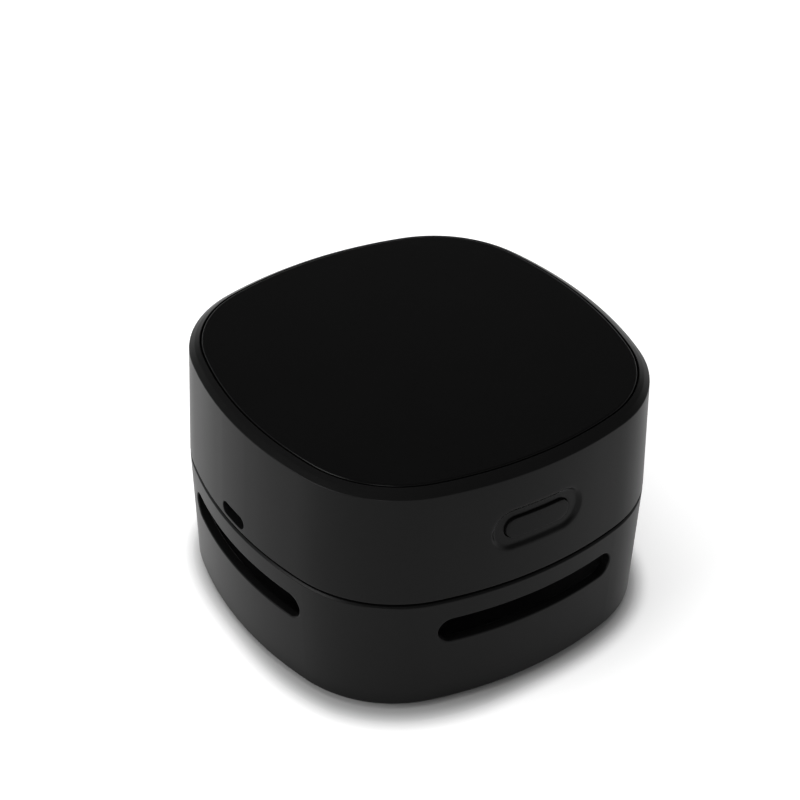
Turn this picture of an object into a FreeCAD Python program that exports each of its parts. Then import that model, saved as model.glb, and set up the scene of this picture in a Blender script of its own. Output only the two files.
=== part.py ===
import FreeCAD
import Part
import Sketcher
import math
import os
import re

from FreeCAD import Vector

# Desktop mini vacuum cleaner.  +Z is up, the front with the button faces -Y and the power inlet faces
# -X.  The origin is on the table under the middle of the body.  Lengths are millimetres, angles degrees.

SIZES = {
    # outline, the same rounded square for every shell
    "side_radius": 81.3,           # radius of the bowed sides
    "corner_radius": 25.9,         # radius of the corners
    "parting_gap": 0.5,            # shadow gap between the two shells
    "upper_draft": 1.75,           # lean of the upper shell's walls
    "lower_draft": 1.97,           # lean of the bowl's walls
    "wall": 2.0,                   # wall of both shells
    # top
    "rim_radius": 1.7,             # rounding of the upper shell's top edge
    "rim_flat": 0.6,               # flat lip between the rounding and the cover
    "cover_seam": 0.18,            # gap round the cover
    "cover_thickness": 2.0,
    "cover_edge": 0.18,            # bevel of the cover's top edge
    "cover_rib_height": 0.5,       # ribs below the cover that keep the cells down
    "cover_rib_length": 8.0,
    "cover_rib_width": 1.2,
    "tray_thickness": 1.2,         # plate of the upper shell that carries the cover
    # bowl
    "foot_height": 1.0,            # how far the feet stand below the bowl
    "foot_radius": 4.0,
    "foot_seat": 0.6,              # depth of the foot's seat in the bowl
    "foot_setback": 10.6,          # corner of the outline to the middle of a foot
    "seat_clearance": 0.1,         # round a part that lies in its seat
    "weld": 0.1,                   # how far two features of one moulding overlap
    "base_thickness": 2.0,
    "base_radius": 1.0,            # rounding of the bowl's lower edge
    "lip_chamfer": 0.3,            # bevel of the bowl's upper edge
    "ledge_height": 10.0,          # lower edge of the bowl to the ledge under the filter
    "ledge_width": 1.8,
    "slot_length": 40.6,           # exhaust slots
    "slot_width": 5.7,
    "inlet_radius": 11.0,
    "inlet_wall": 1.2,
    "inlet_height": 7.0,           # lower edge of the bowl to the top of the inlet's chimney
    "inlet_mouth": 0.7,            # bevel of the inlet's mouth
    # brush ring round the inlet
    "brush_radius": 17.0,          # middle line of the brush strips
    "brush_width": 3.6,            # width of a strip's holder
    "brush_count": 4,
    "brush_half_angle": 36.0,
    "brush_channel": 3.0,          # depth of the channel in the base
    "brush_roof": 1.2,             # wall over and round the channel
    "brush_holder_height": 1.8,
    "bristle_width": 1.6,
    "bristle_lift": 0.2,           # bristle tips above the table
    "bristle_root": 0.6,           # length of the bristles inside the holder
    "holder_play": 0.4,            # angle between a holder and the end of its channel
    "bristle_setback": 2.0,        # angle between the bristles and the end of the channel
    # filter
    "filter_thickness": 2.0,
    "filter_clearance": 0.3,
    "filter_window": 25.0,         # radius of the frame's opening
    "filter_border": 1.5,          # ledge for the mesh round the opening
    "filter_room": 1.4,            # filter's frame up to the fan guard
    "mesh_thickness": 0.5,
    "spoke_width": 1.6,
    "hub_ring_radius": 3.0,
    "grip_setback": 6.5,           # edge of the mesh to the middle of a finger grip
    "grip_width": 12.0,
    "grip_height": 7.0,
    "grip_thickness": 1.6,
    # motor deck
    "deck_drop": 4.1,              # parting line down to the deck's lower face
    "motor_headroom": 1.4,         # motor up to the tray
    "deck_thickness": 2.0,
    "deck_wall": 1.5,
    "deck_inset": 2.35,            # outside of the shells to the deck's wall
    "deck_reach": 2.6,             # how far the deck's wall stands above the parting line
    "seal_height": 1.2,
    "seal_depth": 0.7,             # depth of the seal's groove
    "seal_proud": 0.08,            # seal outside the deck's wall
    "seal_drop": 1.8,              # parting line down to the middle of the seal
    "boss_radius": 3.0,
    "boss_setback": 7.2,           # corner of the outline to the deck's screws
    # screws
    "screw_radius": 0.9,
    "screw_head_radius": 1.8,
    "screw_head_height": 1.2,
    "screw_length": 8.0,
    "screw_fit": 0.04,
    "screw_tip_room": 0.5,         # pilot hole beyond a screw's tip
    "small_screw_length": 4.0,
    # motor
    "motor_radius": 10.05,
    "motor_flats": 15.1,
    "motor_side_gap": 0.75,        # flats of the motor to the cells' troughs
    "motor_sheet": 0.8,
    "can_length": 20.0,
    "end_cap_length": 5.1,
    "end_cap_top": 1.5,
    "end_cap_bore": 6.0,
    "motor_floor": 0.8,            # deck left below the motor
    "motor_boss_radius": 3.05,
    "motor_boss_length": 1.2,
    "motor_cup_height": 8.0,
    "motor_cup_wall": 1.4,
    "bush_radius": 2.2,
    "bush_length": 2.6,
    "shaft_radius": 1.0,
    "shaft_clearance": 0.03,
    "shaft_bearing": 0.8,          # length of the shaft in the end cap
    "magnet_inner": 7.0,
    "magnet_outer": 9.2,
    "magnet_half_angle": 42.0,
    "magnet_length": 13.5,
    "magnet_lift": 3.0,            # motor's seat to the magnets
    "core_radius": 6.4,
    "core_length": 11.5,
    "core_lift": 4.0,
    "core_slot": 1.6,
    "commutator_radius": 2.6,
    "commutator_length": 3.4,
    "commutator_gap": 0.4,         # end cap's floor to the commutator
    "terminal_height": 1.1,
    "terminal_width": 2.2,
    "terminal_thickness": 0.4,
    "terminal_setback": 1.4,       # flat of the motor to a terminal
    "clamp_sheet": 0.6,
    "clamp_width": 6.0,
    "clamp_gap": 0.45,             # clamp's leg to the motor's cup
    "clamp_foot": 5.6,
    # fan
    "impeller_radius": 21.2,
    "impeller_height": 5.8,
    "impeller_gap": 1.0,
    "impeller_plate": 1.0,
    "blade_count": 10,
    "blade_inner": 8.5,
    "blade_sweep": 40.0,           # turn from a blade's root to its tip
    "blade_curve": 18.0,
    "blade_thickness": 0.8,
    "hub_radius": 3.5,
    "hub_nose": 1.2,
    "guard_margin": 0.4,           # guard's edge outside its posts
    "guard_thickness": 1.2,
    "guard_gap": 0.9,
    "guard_eye": 12.0,
    "guard_ring": 1.0,             # width of the rings and spokes of the guard
    "guard_spokes": 6,
    "guard_pad": 2.0,              # thickness of the guard at its screws
    "post_radius": 2.4,
    "post_gap": 1.2,               # impeller to the posts
    # cells and their contacts
    "cell_diameter": 14.2,
    "cell_length": 50.5,
    "cell_nub_radius": 2.7,
    "cell_nub_length": 1.2,
    "cell_edge": 0.5,
    "cell_clearance": 0.4,
    "cell_end_gap": 0.1,
    "cell_drop": 0.8,              # cover down to the cells
    "trough_wall": 1.2,
    "spring_room": 3.5,
    "contact_thickness": 0.5,
    "contact_width": 9.0,
    "contact_height": 8.0,
    "contact_play": 0.05,          # slots round the contacts
    "solder_tab_width": 2.5,       # tabs of the contacts that pass through the end of the trough
    "solder_tab_reach": 1.8,
    "solder_tab_lift": 2.0,        # middle of the cell up to the tabs
    "leaf_thickness": 0.4,
    "leaf_width": 6.0,
    "leaf_foot": 0.8,              # plate to the free end of a leaf
    "leaf_lift": 1.0,              # lower edge of the plate up to the leaf's free end
    # button and switch
    "button_drop": 3.84,           # middle of the cells down to the button's middle
    "button_length": 14.4,
    "button_width": 4.5,
    "button_proud": 0.7,           # button above the floor of its recess
    "button_edge": 0.35,
    "button_gap": 0.18,
    "button_flange": 1.0,
    "button_travel": 1.2,
    "recess_length": 21.0,
    "recess_width": 9.7,
    "recess_depth": 1.2,
    "recess_edge": 0.4,            # bevel round the recess
    "recess_wall": 1.8,
    "switch_size": 8.0,
    "switch_depth": 5.2,
    "switch_room": 1.54,           # switch to the button's flange: travel and play
    "plunger_size": 3.2,
    "plunger_reach": 4.4,
    "switch_floor": 0.8,           # switch's own floor behind its plunger
    "board_thickness": 1.2,
    "board_play": 0.5,             # notch in the deck's wall beside the power board
    "board_boss": 1.2,             # bosses that carry the switch's board
    "board_boss_radius": 2.0,
    "switch_board_width": 25.0,
    "switch_board_height": 9.6,
    # power inlet
    "pillar_height": 2.35,         # deck up to the power board
    "port_length": 8.1,
    "port_width": 2.85,
    "socket_width": 7.5,
    "socket_height": 2.5,
    "socket_depth": 5.6,
    "socket_sheet": 0.3,
    "socket_tongue": 0.6,
    "tongue_setback": 0.8,         # socket's mouth back to its tongue
    "socket_gap": 0.25,            # upper shell's wall to the socket
    "power_board_setback": 0.8,    # socket's mouth in front of its board
    "power_board_length": 15.2,
    "power_board_width": 15.0,
    "power_board_screws": 10.0,
    "chip_length": 4.9,            # charge controller on the power board
    "chip_width": 3.9,
    "chip_height": 1.4,
    "chip_setback": 1.5,           # middle of the board to the chip
    "lead_radius": 0.6,            # insulated leads between the motor and the boards
    "lead_run": 3.0,               # straight run of a lead next to what it leaves
}

# Sizes and places that follow from the driving dimensions.
DERIVED = {
    "base_level": "foot_height",
    "floor_level": "base_level + base_thickness",
    "ledge_level": "base_level + ledge_height",
    "parting_level": "deck_bottom + deck_drop",
    "bowl_top": "parting_level - parting_gap / 2",
    "shell_bottom": "parting_level + parting_gap / 2",
    "tray_bottom": "motor_top + motor_headroom",
    "cover_seat": "tray_bottom + tray_thickness",
    "top_level": "cover_seat + cover_thickness",
    "slot_level": "(impeller_bottom + impeller_top) / 2",
    "button_level": "cell_level - button_drop",
    "upper_slope": "tan(upper_draft)",
    "lower_slope": "tan(lower_draft)",
    "top_inset": "(top_level - shell_bottom) * upper_slope",
    "cover_inset": "top_inset + rim_radius + rim_flat",
    "ledge_inset": "(bowl_top - ledge_level) * lower_slope + wall",
    "corner_offset": "(half_width - side_radius + sqrt(2 * (side_radius - corner_radius)^2"
                     " - (side_radius - half_width)^2)) / 2",
    "corner_reach": "corner_offset * sqrt(2) + corner_radius",
    "foot_circle": "corner_reach - foot_setback",
    "boss_circle": "corner_reach - boss_setback",
    "brush_inner": "brush_radius - brush_width / 2",
    "brush_outer": "brush_radius + brush_width / 2",
    "channel_top": "base_level + brush_channel",
    "guard_bottom": "ledge_level + filter_thickness + filter_room",
    "guard_top": "guard_bottom + guard_thickness",
    "impeller_bottom": "guard_top + guard_gap",
    "impeller_top": "impeller_bottom + impeller_height",
    "deck_bottom": "impeller_top + impeller_gap",
    "deck_top": "deck_bottom + deck_thickness",
    "deck_wall_top": "parting_level + deck_reach",
    "seal_level": "parting_level - seal_drop",
    "motor_seat": "deck_bottom + motor_floor",
    "can_top": "motor_seat + can_length",
    "motor_top": "can_top + end_cap_length",
    "cup_radius": "motor_radius + seat_clearance + motor_cup_wall",
    "clamp_leg": "cup_radius + clamp_gap",
    "clamp_screw": "clamp_leg + clamp_sheet + clamp_foot / 2",
    "blade_tip_x": "impeller_radius * cos(blade_sweep)",
    "blade_tip_y": "impeller_radius * sin(blade_sweep)",
    "blade_chord": "sqrt((blade_tip_x - blade_inner)^2 + blade_tip_y^2)",
    "blade_rise": "sqrt(blade_curve^2 - blade_chord^2 / 4)",
    "blade_centre_x": "(blade_tip_x + blade_inner) / 2 - blade_rise * blade_tip_y / blade_chord",
    "blade_centre_y": "blade_tip_y / 2 + blade_rise * (blade_tip_x - blade_inner) / blade_chord",
    "post_circle": "impeller_radius + post_gap + post_radius",
    "guard_radius": "post_circle + post_radius + guard_margin",
    "grip_offset": "filter_window + filter_border + grip_setback",
    "cell_level": "cover_seat - cell_drop - cell_diameter / 2",
    "bay_radius": "cell_diameter / 2 + cell_clearance",
    "trough_radius": "bay_radius + trough_wall",
    "cell_offset": "motor_flats / 2 + motor_side_gap + trough_radius",
    "bay_half": "(cell_length + spring_room) / 2 + contact_thickness + cell_end_gap",
    "contact_face": "bay_half - contact_thickness",
    "cell_near_end": "contact_face - cell_end_gap",
    "cell_far_end": "cell_length - cell_near_end",
    "tab_level": "cell_level + solder_tab_lift",
    "tab_tip": "bay_half + trough_wall + solder_tab_reach",
    "recess_back": "flange_front + button_gap",
    "recess_floor": "recess_back + recess_wall",
    "side_at_button": "recess_floor + recess_depth",
    "half_width": "side_at_button + (button_level - shell_bottom) * upper_slope",
    "button_front": "recess_floor + button_proud",
    "flange_back": "switch_front + switch_room",
    "flange_front": "flange_back + button_flange",
    "switch_back": "bay_half + trough_wall + board_boss + board_thickness",
    "switch_front": "switch_back + switch_depth",
    "board_screw_offset": "cell_offset - bay_radius + trough_wall / 2 + board_boss_radius / 2",
    "board_bottom": "deck_top + pillar_height",
    "board_top": "board_bottom + board_thickness",
    "port_level": "board_top + socket_height / 2",
    "side_at_port": "half_width - (port_level - shell_bottom) * upper_slope",
    "socket_mouth": "side_at_port - wall - socket_gap",
    "power_board_front": "socket_mouth - power_board_setback",
    "power_board_end": "power_board_front - power_board_length",
}

WORD = re.compile(r"[a-z][a-z0-9_]*")

document = FreeCAD.newDocument("DesktopVacuum")
sheet = document.addObject("Spreadsheet::Sheet", "Sizes")


def fill_sheet():
    """Write the driving dimensions into the spreadsheet, each under its own alias."""
    for row, (name, value) in enumerate(SIZES.items(), start=1):
        sheet.set("A%d" % row, name)
        sheet.set("B%d" % row, str(value))
        sheet.setAlias("B%d" % row, name)
    document.recompute()


def spell(text):
    """Turn an expression made of size names into one that the document reads."""
    def word(match):
        name = match.group(0)
        if name in DERIVED:
            return "(" + spell(DERIVED[name]) + ")"
        if name in SIZES:
            return "Sizes." + name
        return name
    return WORD.sub(word, str(text))


def number(text):
    """Value of an expression, for the first drawing of a sketch."""
    return float(sheet.evalExpression(spell(text)))


def bind(feature, size, text):
    """Tie one property or constraint of a feature to the spreadsheet."""
    feature.setExpression(size, spell(text))


def minus(text):
    return "-(%s)" % text


# ---------------------------------------------------------------------------------------------------
# drawing in sketches
# ---------------------------------------------------------------------------------------------------

def hold(sketch, kind, *where):
    """Add a constraint whose last entry is the expression of its size."""
    text = where[-1]
    index = sketch.addConstraint(Sketcher.Constraint(kind, *where[:-1], number(text)))
    bind(sketch, "Constraints[%d]" % index, text)


def tie(sketch, kind, *where):
    """Add a constraint that has no size."""
    sketch.addConstraint(Sketcher.Constraint(kind, *where))


def pin(sketch, shape, end, x, y):
    """Place one point of a shape: 1 is its start, 2 its end and 3 its centre."""
    hold(sketch, "DistanceX", -1, 1, shape, end, x)
    hold(sketch, "DistanceY", -1, 1, shape, end, y)


def draw_circle(sketch, x, y, radius):
    centre = Vector(number(x), number(y), 0)
    circle = sketch.addGeometry(Part.Circle(centre, Vector(0, 0, 1), number(radius)), False)
    pin(sketch, circle, 3, x, y)
    hold(sketch, "Radius", circle, radius)


def draw_polygon(sketch, points):
    """Closed outline of straight lines through points given as pairs of expressions."""
    corners = [Vector(number(x), number(y), 0) for x, y in points]
    count = len(corners)
    lines = []
    for i in range(count):
        lines.append(sketch.addGeometry(Part.LineSegment(corners[i], corners[(i + 1) % count]), False))
    for i in range(count):
        tie(sketch, "Coincident", lines[i], 2, lines[(i + 1) % count], 1)
        pin(sketch, lines[i], 1, *points[i])


def draw_box(sketch, left, right, low, high):
    draw_polygon(sketch, [(left, low), (right, low), (right, high), (left, high)])


def draw_stadium(sketch, x, y, length, width):
    """Lying outline with two straight sides and round ends."""
    radius = number(width) / 2
    reach = number(length) / 2 - radius
    middle = Vector(number(x), number(y), 0)
    up = Vector(0, 0, 1)
    right = Part.Circle(middle + Vector(reach, 0, 0), up, radius)
    left = Part.Circle(middle - Vector(reach, 0, 0), up, radius)
    ends = (Part.ArcOfCircle(right, -math.pi / 2, math.pi / 2),
            Part.ArcOfCircle(left, math.pi / 2, 3 * math.pi / 2))
    first, second = [sketch.addGeometry(arc, False) for arc in ends]
    rise = Vector(0, radius, 0)
    run = Vector(reach, 0, 0)
    top = sketch.addGeometry(Part.LineSegment(middle + run + rise, middle - run + rise), False)
    low = sketch.addGeometry(Part.LineSegment(middle - run - rise, middle + run - rise), False)
    tie(sketch, "Tangent", first, 2, top, 1)
    tie(sketch, "Tangent", top, 2, second, 1)
    tie(sketch, "Tangent", second, 2, low, 1)
    tie(sketch, "Tangent", low, 2, first, 1)
    half = "((%s) - (%s)) / 2" % (length, width)
    pin(sketch, first, 3, "(%s) + %s" % (x, half), y)
    pin(sketch, second, 3, "(%s) - %s" % (x, half), y)
    hold(sketch, "Radius", first, "(%s) / 2" % width)


def draw_trough(sketch, x, y, radius, top):
    """Outline of a channel: a half round at the bottom and straight sides up to its top."""
    cx, cy, r, high = number(x), number(y), number(radius), number(top)
    circle = Part.Circle(Vector(cx, cy, 0), Vector(0, 0, 1), r)
    arc = sketch.addGeometry(Part.ArcOfCircle(circle, math.pi, 2 * math.pi), False)
    corners = [Vector(cx + r, cy, 0), Vector(cx + r, high, 0), Vector(cx - r, high, 0), Vector(cx - r, cy, 0)]
    right, lid, left = [sketch.addGeometry(Part.LineSegment(a, b), False)
                        for a, b in zip(corners, corners[1:])]
    tie(sketch, "Tangent", arc, 2, right, 1)
    tie(sketch, "Coincident", right, 2, lid, 1)
    tie(sketch, "Coincident", lid, 2, left, 1)
    tie(sketch, "Tangent", left, 2, arc, 1)
    tie(sketch, "Vertical", right)
    tie(sketch, "Vertical", left)
    tie(sketch, "Horizontal", lid)
    pin(sketch, arc, 3, x, y)
    hold(sketch, "Radius", arc, radius)
    hold(sketch, "DistanceY", -1, 1, lid, 1, top)


def draw_flatted(sketch, radius, flats):
    """Circle round the origin with two flats that face left and right."""
    r = number(radius)
    x = number(flats) / 2
    y = math.sqrt(r * r - x * x)
    turn = math.atan2(y, x)
    circle = Part.Circle(Vector(0, 0, 0), Vector(0, 0, 1), r)
    back = sketch.addGeometry(Part.ArcOfCircle(circle, turn, math.pi - turn), False)
    left = sketch.addGeometry(Part.LineSegment(Vector(-x, y, 0), Vector(-x, -y, 0)), False)
    front = sketch.addGeometry(Part.ArcOfCircle(circle, math.pi + turn, 2 * math.pi - turn), False)
    right = sketch.addGeometry(Part.LineSegment(Vector(x, -y, 0), Vector(x, y, 0)), False)
    shapes = (back, left, front, right)
    for i in range(4):
        tie(sketch, "Coincident", shapes[i], 2, shapes[(i + 1) % 4], 1)
    for arc in (back, front):
        tie(sketch, "Coincident", arc, 3, -1, 1)
        hold(sketch, "Radius", arc, radius)
    for line in (left, right):
        tie(sketch, "Vertical", line)
    hold(sketch, "DistanceX", -1, 1, right, 1, "(%s) / 2" % flats)
    hold(sketch, "DistanceX", -1, 1, left, 1, "-(%s) / 2" % flats)


def draw_band(sketch, x, y, inner, outer, start_sine, end_sine):
    """Strip between two arcs round one centre; its ends are given by the sines of their angles."""
    centre = Vector(number(x), number(y), 0)
    start = math.asin(number(start_sine))
    end = math.asin(number(end_sine))
    arcs = []
    for radius in (inner, outer):
        circle = Part.Circle(centre, Vector(0, 0, 1), number(radius))
        arc = sketch.addGeometry(Part.ArcOfCircle(circle, start, end), False)
        pin(sketch, arc, 3, x, y)
        hold(sketch, "Radius", arc, radius)
        hold(sketch, "DistanceY", -1, 1, arc, 1, "(%s) + (%s) * (%s)" % (y, radius, start_sine))
        hold(sketch, "DistanceY", -1, 1, arc, 2, "(%s) + (%s) * (%s)" % (y, radius, end_sine))
        arcs.append(arc)
    for end_point in (1, 2):
        points = [sketch.getPoint(arc, end_point) for arc in arcs]
        line = sketch.addGeometry(Part.LineSegment(*points), False)
        tie(sketch, "Coincident", arcs[0], end_point, line, 1)
        tie(sketch, "Coincident", arcs[1], end_point, line, 2)


def draw_outline(sketch, inset):
    """The body's rounded square: four bowed sides and four tighter corners, all tangent."""
    side_radius = number("side_radius - (%s)" % inset)
    corner_radius = number("corner_radius - (%s)" % inset)
    back_off = number("side_radius - half_width")
    offset = number("corner_offset")
    half_angle = math.atan2(offset, offset + back_off)
    arcs = []
    for quarter in range(4):
        turn = quarter * math.pi / 2

        def at(x, y):
            return Vector(x * math.cos(turn) - y * math.sin(turn), x * math.sin(turn) + y * math.cos(turn), 0)

        side = Part.Circle(at(-back_off, 0), Vector(0, 0, 1), side_radius)
        corner = Part.Circle(at(offset, offset), Vector(0, 0, 1), corner_radius)
        arcs.append(sketch.addGeometry(Part.ArcOfCircle(side, turn - half_angle, turn + half_angle), False))
        corner_end = turn + math.pi / 2 - half_angle
        arcs.append(sketch.addGeometry(Part.ArcOfCircle(corner, turn + half_angle, corner_end), False))
    for i in range(8):
        tie(sketch, "Tangent", arcs[i], 2, arcs[(i + 1) % 8], 1)
    sides, corners = arcs[0::2], arcs[1::2]
    for side in sides[1:]:
        tie(sketch, "Equal", sides[0], side)
    for corner in corners[1:]:
        tie(sketch, "Equal", corners[0], corner)
    hold(sketch, "Radius", sides[0], "side_radius - (%s)" % inset)
    hold(sketch, "Radius", corners[0], "corner_radius - (%s)" % inset)
    for index, axis in enumerate((-1, -2, -1, -2)):
        tie(sketch, "PointOnObject", sides[index], 3, axis)
    distance = "side_radius - half_width"
    hold(sketch, "DistanceX", sides[0], 3, -1, 1, distance)
    hold(sketch, "DistanceY", sides[1], 3, -1, 1, distance)
    hold(sketch, "DistanceX", -1, 1, sides[2], 3, distance)
    hold(sketch, "DistanceY", -1, 1, sides[3], 3, distance)


# ---------------------------------------------------------------------------------------------------
# sub-parts as bodies
# ---------------------------------------------------------------------------------------------------

class Piece:
    """One sub-part: a PartDesign body whose features are bound to the spreadsheet."""

    def __init__(self, label, group=False):
        self.body = document.addObject("PartDesign::Body", label)
        self.body.Label = label
        self.body.AllowCompound = group

    def sketch(self, plane="XY_Plane", level="0", across="0", up="0"):
        """Sketch on one of the body's origin planes, moved along and over its normal."""
        sketch = self.body.newObject("Sketcher::SketchObject", self.body.Name + "_sketch")
        for feature in self.body.Origin.OriginFeatures:
            if feature.Role == plane:
                sketch.AttachmentSupport = [(feature, "")]
        sketch.MapMode = "FlatFace"
        bind(sketch, "AttachmentOffset.Base.z", level)
        bind(sketch, "AttachmentOffset.Base.x", across)
        bind(sketch, "AttachmentOffset.Base.y", up)
        return sketch

    def extrude(self, kind, sketch, length, taper="0", back=False, both=False):
        feature = self.body.newObject("PartDesign::" + kind, self.body.Name + "_" + kind.lower())
        feature.Profile = sketch
        bind(feature, "Length", length)
        if taper != "0":
            bind(feature, "TaperAngle", taper)
        feature.Reversed = back
        if both:
            feature.SideType = "Symmetric"
        return feature

    def pad(self, sketch, length, **options):
        return self.extrude("Pad", sketch, length, **options)

    def pocket(self, sketch, length, **options):
        return self.extrude("Pocket", sketch, length, **options)

    def revolve(self, sketch, axis="V_Axis", kind="Revolution"):
        feature = self.body.newObject("PartDesign::" + kind, self.body.Name + "_turned")
        feature.Profile = sketch
        feature.ReferenceAxis = (sketch, [axis])
        feature.Angle = 360
        return feature

    def polar(self, feature, count):
        """Repeat a feature round the vertical axis through the origin."""
        pattern = self.body.newObject("PartDesign::PolarPattern", self.body.Name + "_polar")
        pattern.Originals = [feature]
        pattern.Axis = (self.origin_axis("Z_Axis"), [""])
        pattern.Angle = 360
        bind(pattern, "Occurrences", count)
        self.body.Tip = pattern
        return pattern

    def mirror(self, feature, plane):
        """Repeat a feature on the other side of one of the body's origin planes."""
        pattern = self.body.newObject("PartDesign::Mirrored", self.body.Name + "_mirrored")
        pattern.Originals = [feature]
        pattern.MirrorPlane = (self.origin_axis(plane), [""])
        self.body.Tip = pattern
        return pattern

    def origin_axis(self, role):
        return [feature for feature in self.body.Origin.OriginFeatures if feature.Role == role][0]

    def fillet(self, radius, test, kind="Fillet"):
        """Round the edges that pass a test."""
        document.recompute()
        base = self.body.Tip
        names = ["Edge%d" % (i + 1) for i, edge in enumerate(base.Shape.Edges) if test(edge)]
        feature = self.body.newObject("PartDesign::" + kind, self.body.Name + "_" + kind.lower())
        feature.Base = (base, names)
        bind(feature, "Size" if kind == "Chamfer" else "Radius", radius)
        return feature

    def chamfer(self, size, test):
        """Bevel the edges that pass a test."""
        return self.fillet(size, test, kind="Chamfer")

    def cut_with(self, tool):
        """Take another body away from this one."""
        feature = self.body.newObject("PartDesign::Boolean", self.body.Name + "_cut")
        feature.Type = "Cut"
        feature.Group = [tool.body]
        return feature


def at_level(text):
    """Test for edges that lie wholly at one height."""
    level = number(text)

    def test(edge):
        box = edge.BoundBox
        return abs(box.ZMin - level) < 0.01 and abs(box.ZMax - level) < 0.01
    return test


def diagonal(circle):
    """Place on the diagonal at a given distance from the middle, as a pair of expressions."""
    return ("(%s) * cos(45)" % circle, "(%s) * sin(45)" % circle)


# ---------------------------------------------------------------------------------------------------
# dust bowl, feet and brush
# ---------------------------------------------------------------------------------------------------

def make_dust_bowl():
    bowl = Piece("dust_bowl")
    outside = bowl.sketch(level="bowl_top")
    draw_outline(outside, "0")
    bowl.pad(outside, "bowl_top - base_level", taper="-lower_draft", back=True)
    bowl.fillet("base_radius", at_level("base_level"))
    bowl.chamfer("lip_chamfer", at_level("bowl_top"))
    hollow_bowl(bowl)
    add_inlet(bowl)
    cut_exhaust_slots(bowl)
    seats = bowl.sketch(level="base_level")
    draw_circle(seats, *diagonal("foot_circle"), "foot_radius + seat_clearance")
    seat = bowl.pocket(seats, "foot_seat", back=True)
    bowl.polar(seat, "4")


def hollow_bowl(bowl):
    """Cavity above the filter's ledge and the narrower dust chamber below it."""
    upper = bowl.sketch(level="bowl_top")
    draw_outline(upper, "wall")
    bowl.pocket(upper, "bowl_top - ledge_level", taper="-lower_draft")
    lower = bowl.sketch(level="ledge_level")
    draw_outline(lower, "ledge_inset + ledge_width")
    bowl.pocket(lower, "ledge_level - floor_level", taper="-lower_draft")


def add_inlet(bowl):
    """Chimney that keeps the dust in, and the raised ring that holds the brush strips."""
    ring = bowl.sketch(level="floor_level")
    draw_circle(ring, "0", "0", "brush_outer + brush_roof")
    bowl.pad(ring, "channel_top + brush_roof - floor_level")
    chimney = bowl.sketch(level="floor_level")
    draw_circle(chimney, "0", "0", "inlet_radius + inlet_wall")
    bowl.pad(chimney, "base_level + inlet_height - floor_level")
    bore = bowl.sketch(level="base_level")
    draw_circle(bore, "0", "0", "inlet_radius")
    bowl.pocket(bore, "inlet_height", back=True)
    inlet_radius = number("inlet_radius")
    at_base = at_level("base_level")
    bowl.chamfer("inlet_mouth", lambda edge: at_base(edge) and abs(edge.BoundBox.XMax - inlet_radius) < 0.01)
    channel = bowl.sketch(level="base_level")
    draw_band(channel, "0", "0", "brush_inner - seat_clearance", "brush_outer + seat_clearance",
              "-sin(brush_half_angle)", "sin(brush_half_angle)")
    cut = bowl.pocket(channel, "brush_channel", back=True)
    bowl.polar(cut, "brush_count")


def cut_exhaust_slots(bowl):
    for plane in ("XZ_Plane", "YZ_Plane"):
        slot = bowl.sketch(plane=plane)
        draw_stadium(slot, "0", "slot_level", "slot_length", "slot_width")
        bowl.pocket(slot, "2 * half_width", both=True)


def make_glide_feet():
    feet = Piece("glide_feet", group=True)
    face = feet.sketch(level="base_level + foot_seat")
    draw_circle(face, *diagonal("foot_circle"), "foot_radius")
    foot = feet.pad(face, "foot_seat + foot_height", back=True)
    feet.polar(foot, "4")


def make_brush():
    holders = Piece("brush_holders", group=True)
    strip = holders.sketch(level="channel_top")
    draw_band(strip, "0", "0", "brush_inner", "brush_outer",
              "-sin(brush_half_angle - holder_play)", "sin(brush_half_angle - holder_play)")
    holder = holders.pad(strip, "brush_holder_height", back=True)
    holders.polar(holder, "brush_count")
    groove = holders.sketch(level="channel_top - brush_holder_height")
    draw_bristle_band(groove, "bristle_width + seat_clearance")
    cut = holders.pocket(groove, "bristle_root", back=True)
    holders.polar(cut, "brush_count")

    bristles = Piece("brush_bristles", group=True)
    tuft = bristles.sketch(level="channel_top - brush_holder_height + bristle_root")
    draw_bristle_band(tuft, "bristle_width")
    row = bristles.pad(tuft, "channel_top - brush_holder_height + bristle_root - bristle_lift", back=True)
    bristles.polar(row, "brush_count")


def draw_bristle_band(sketch, width):
    draw_band(sketch, "0", "0", "brush_radius - (%s) / 2" % width, "brush_radius + (%s) / 2" % width,
              "-sin(brush_half_angle - bristle_setback)", "sin(brush_half_angle - bristle_setback)")


# ---------------------------------------------------------------------------------------------------
# filter
# ---------------------------------------------------------------------------------------------------

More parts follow.
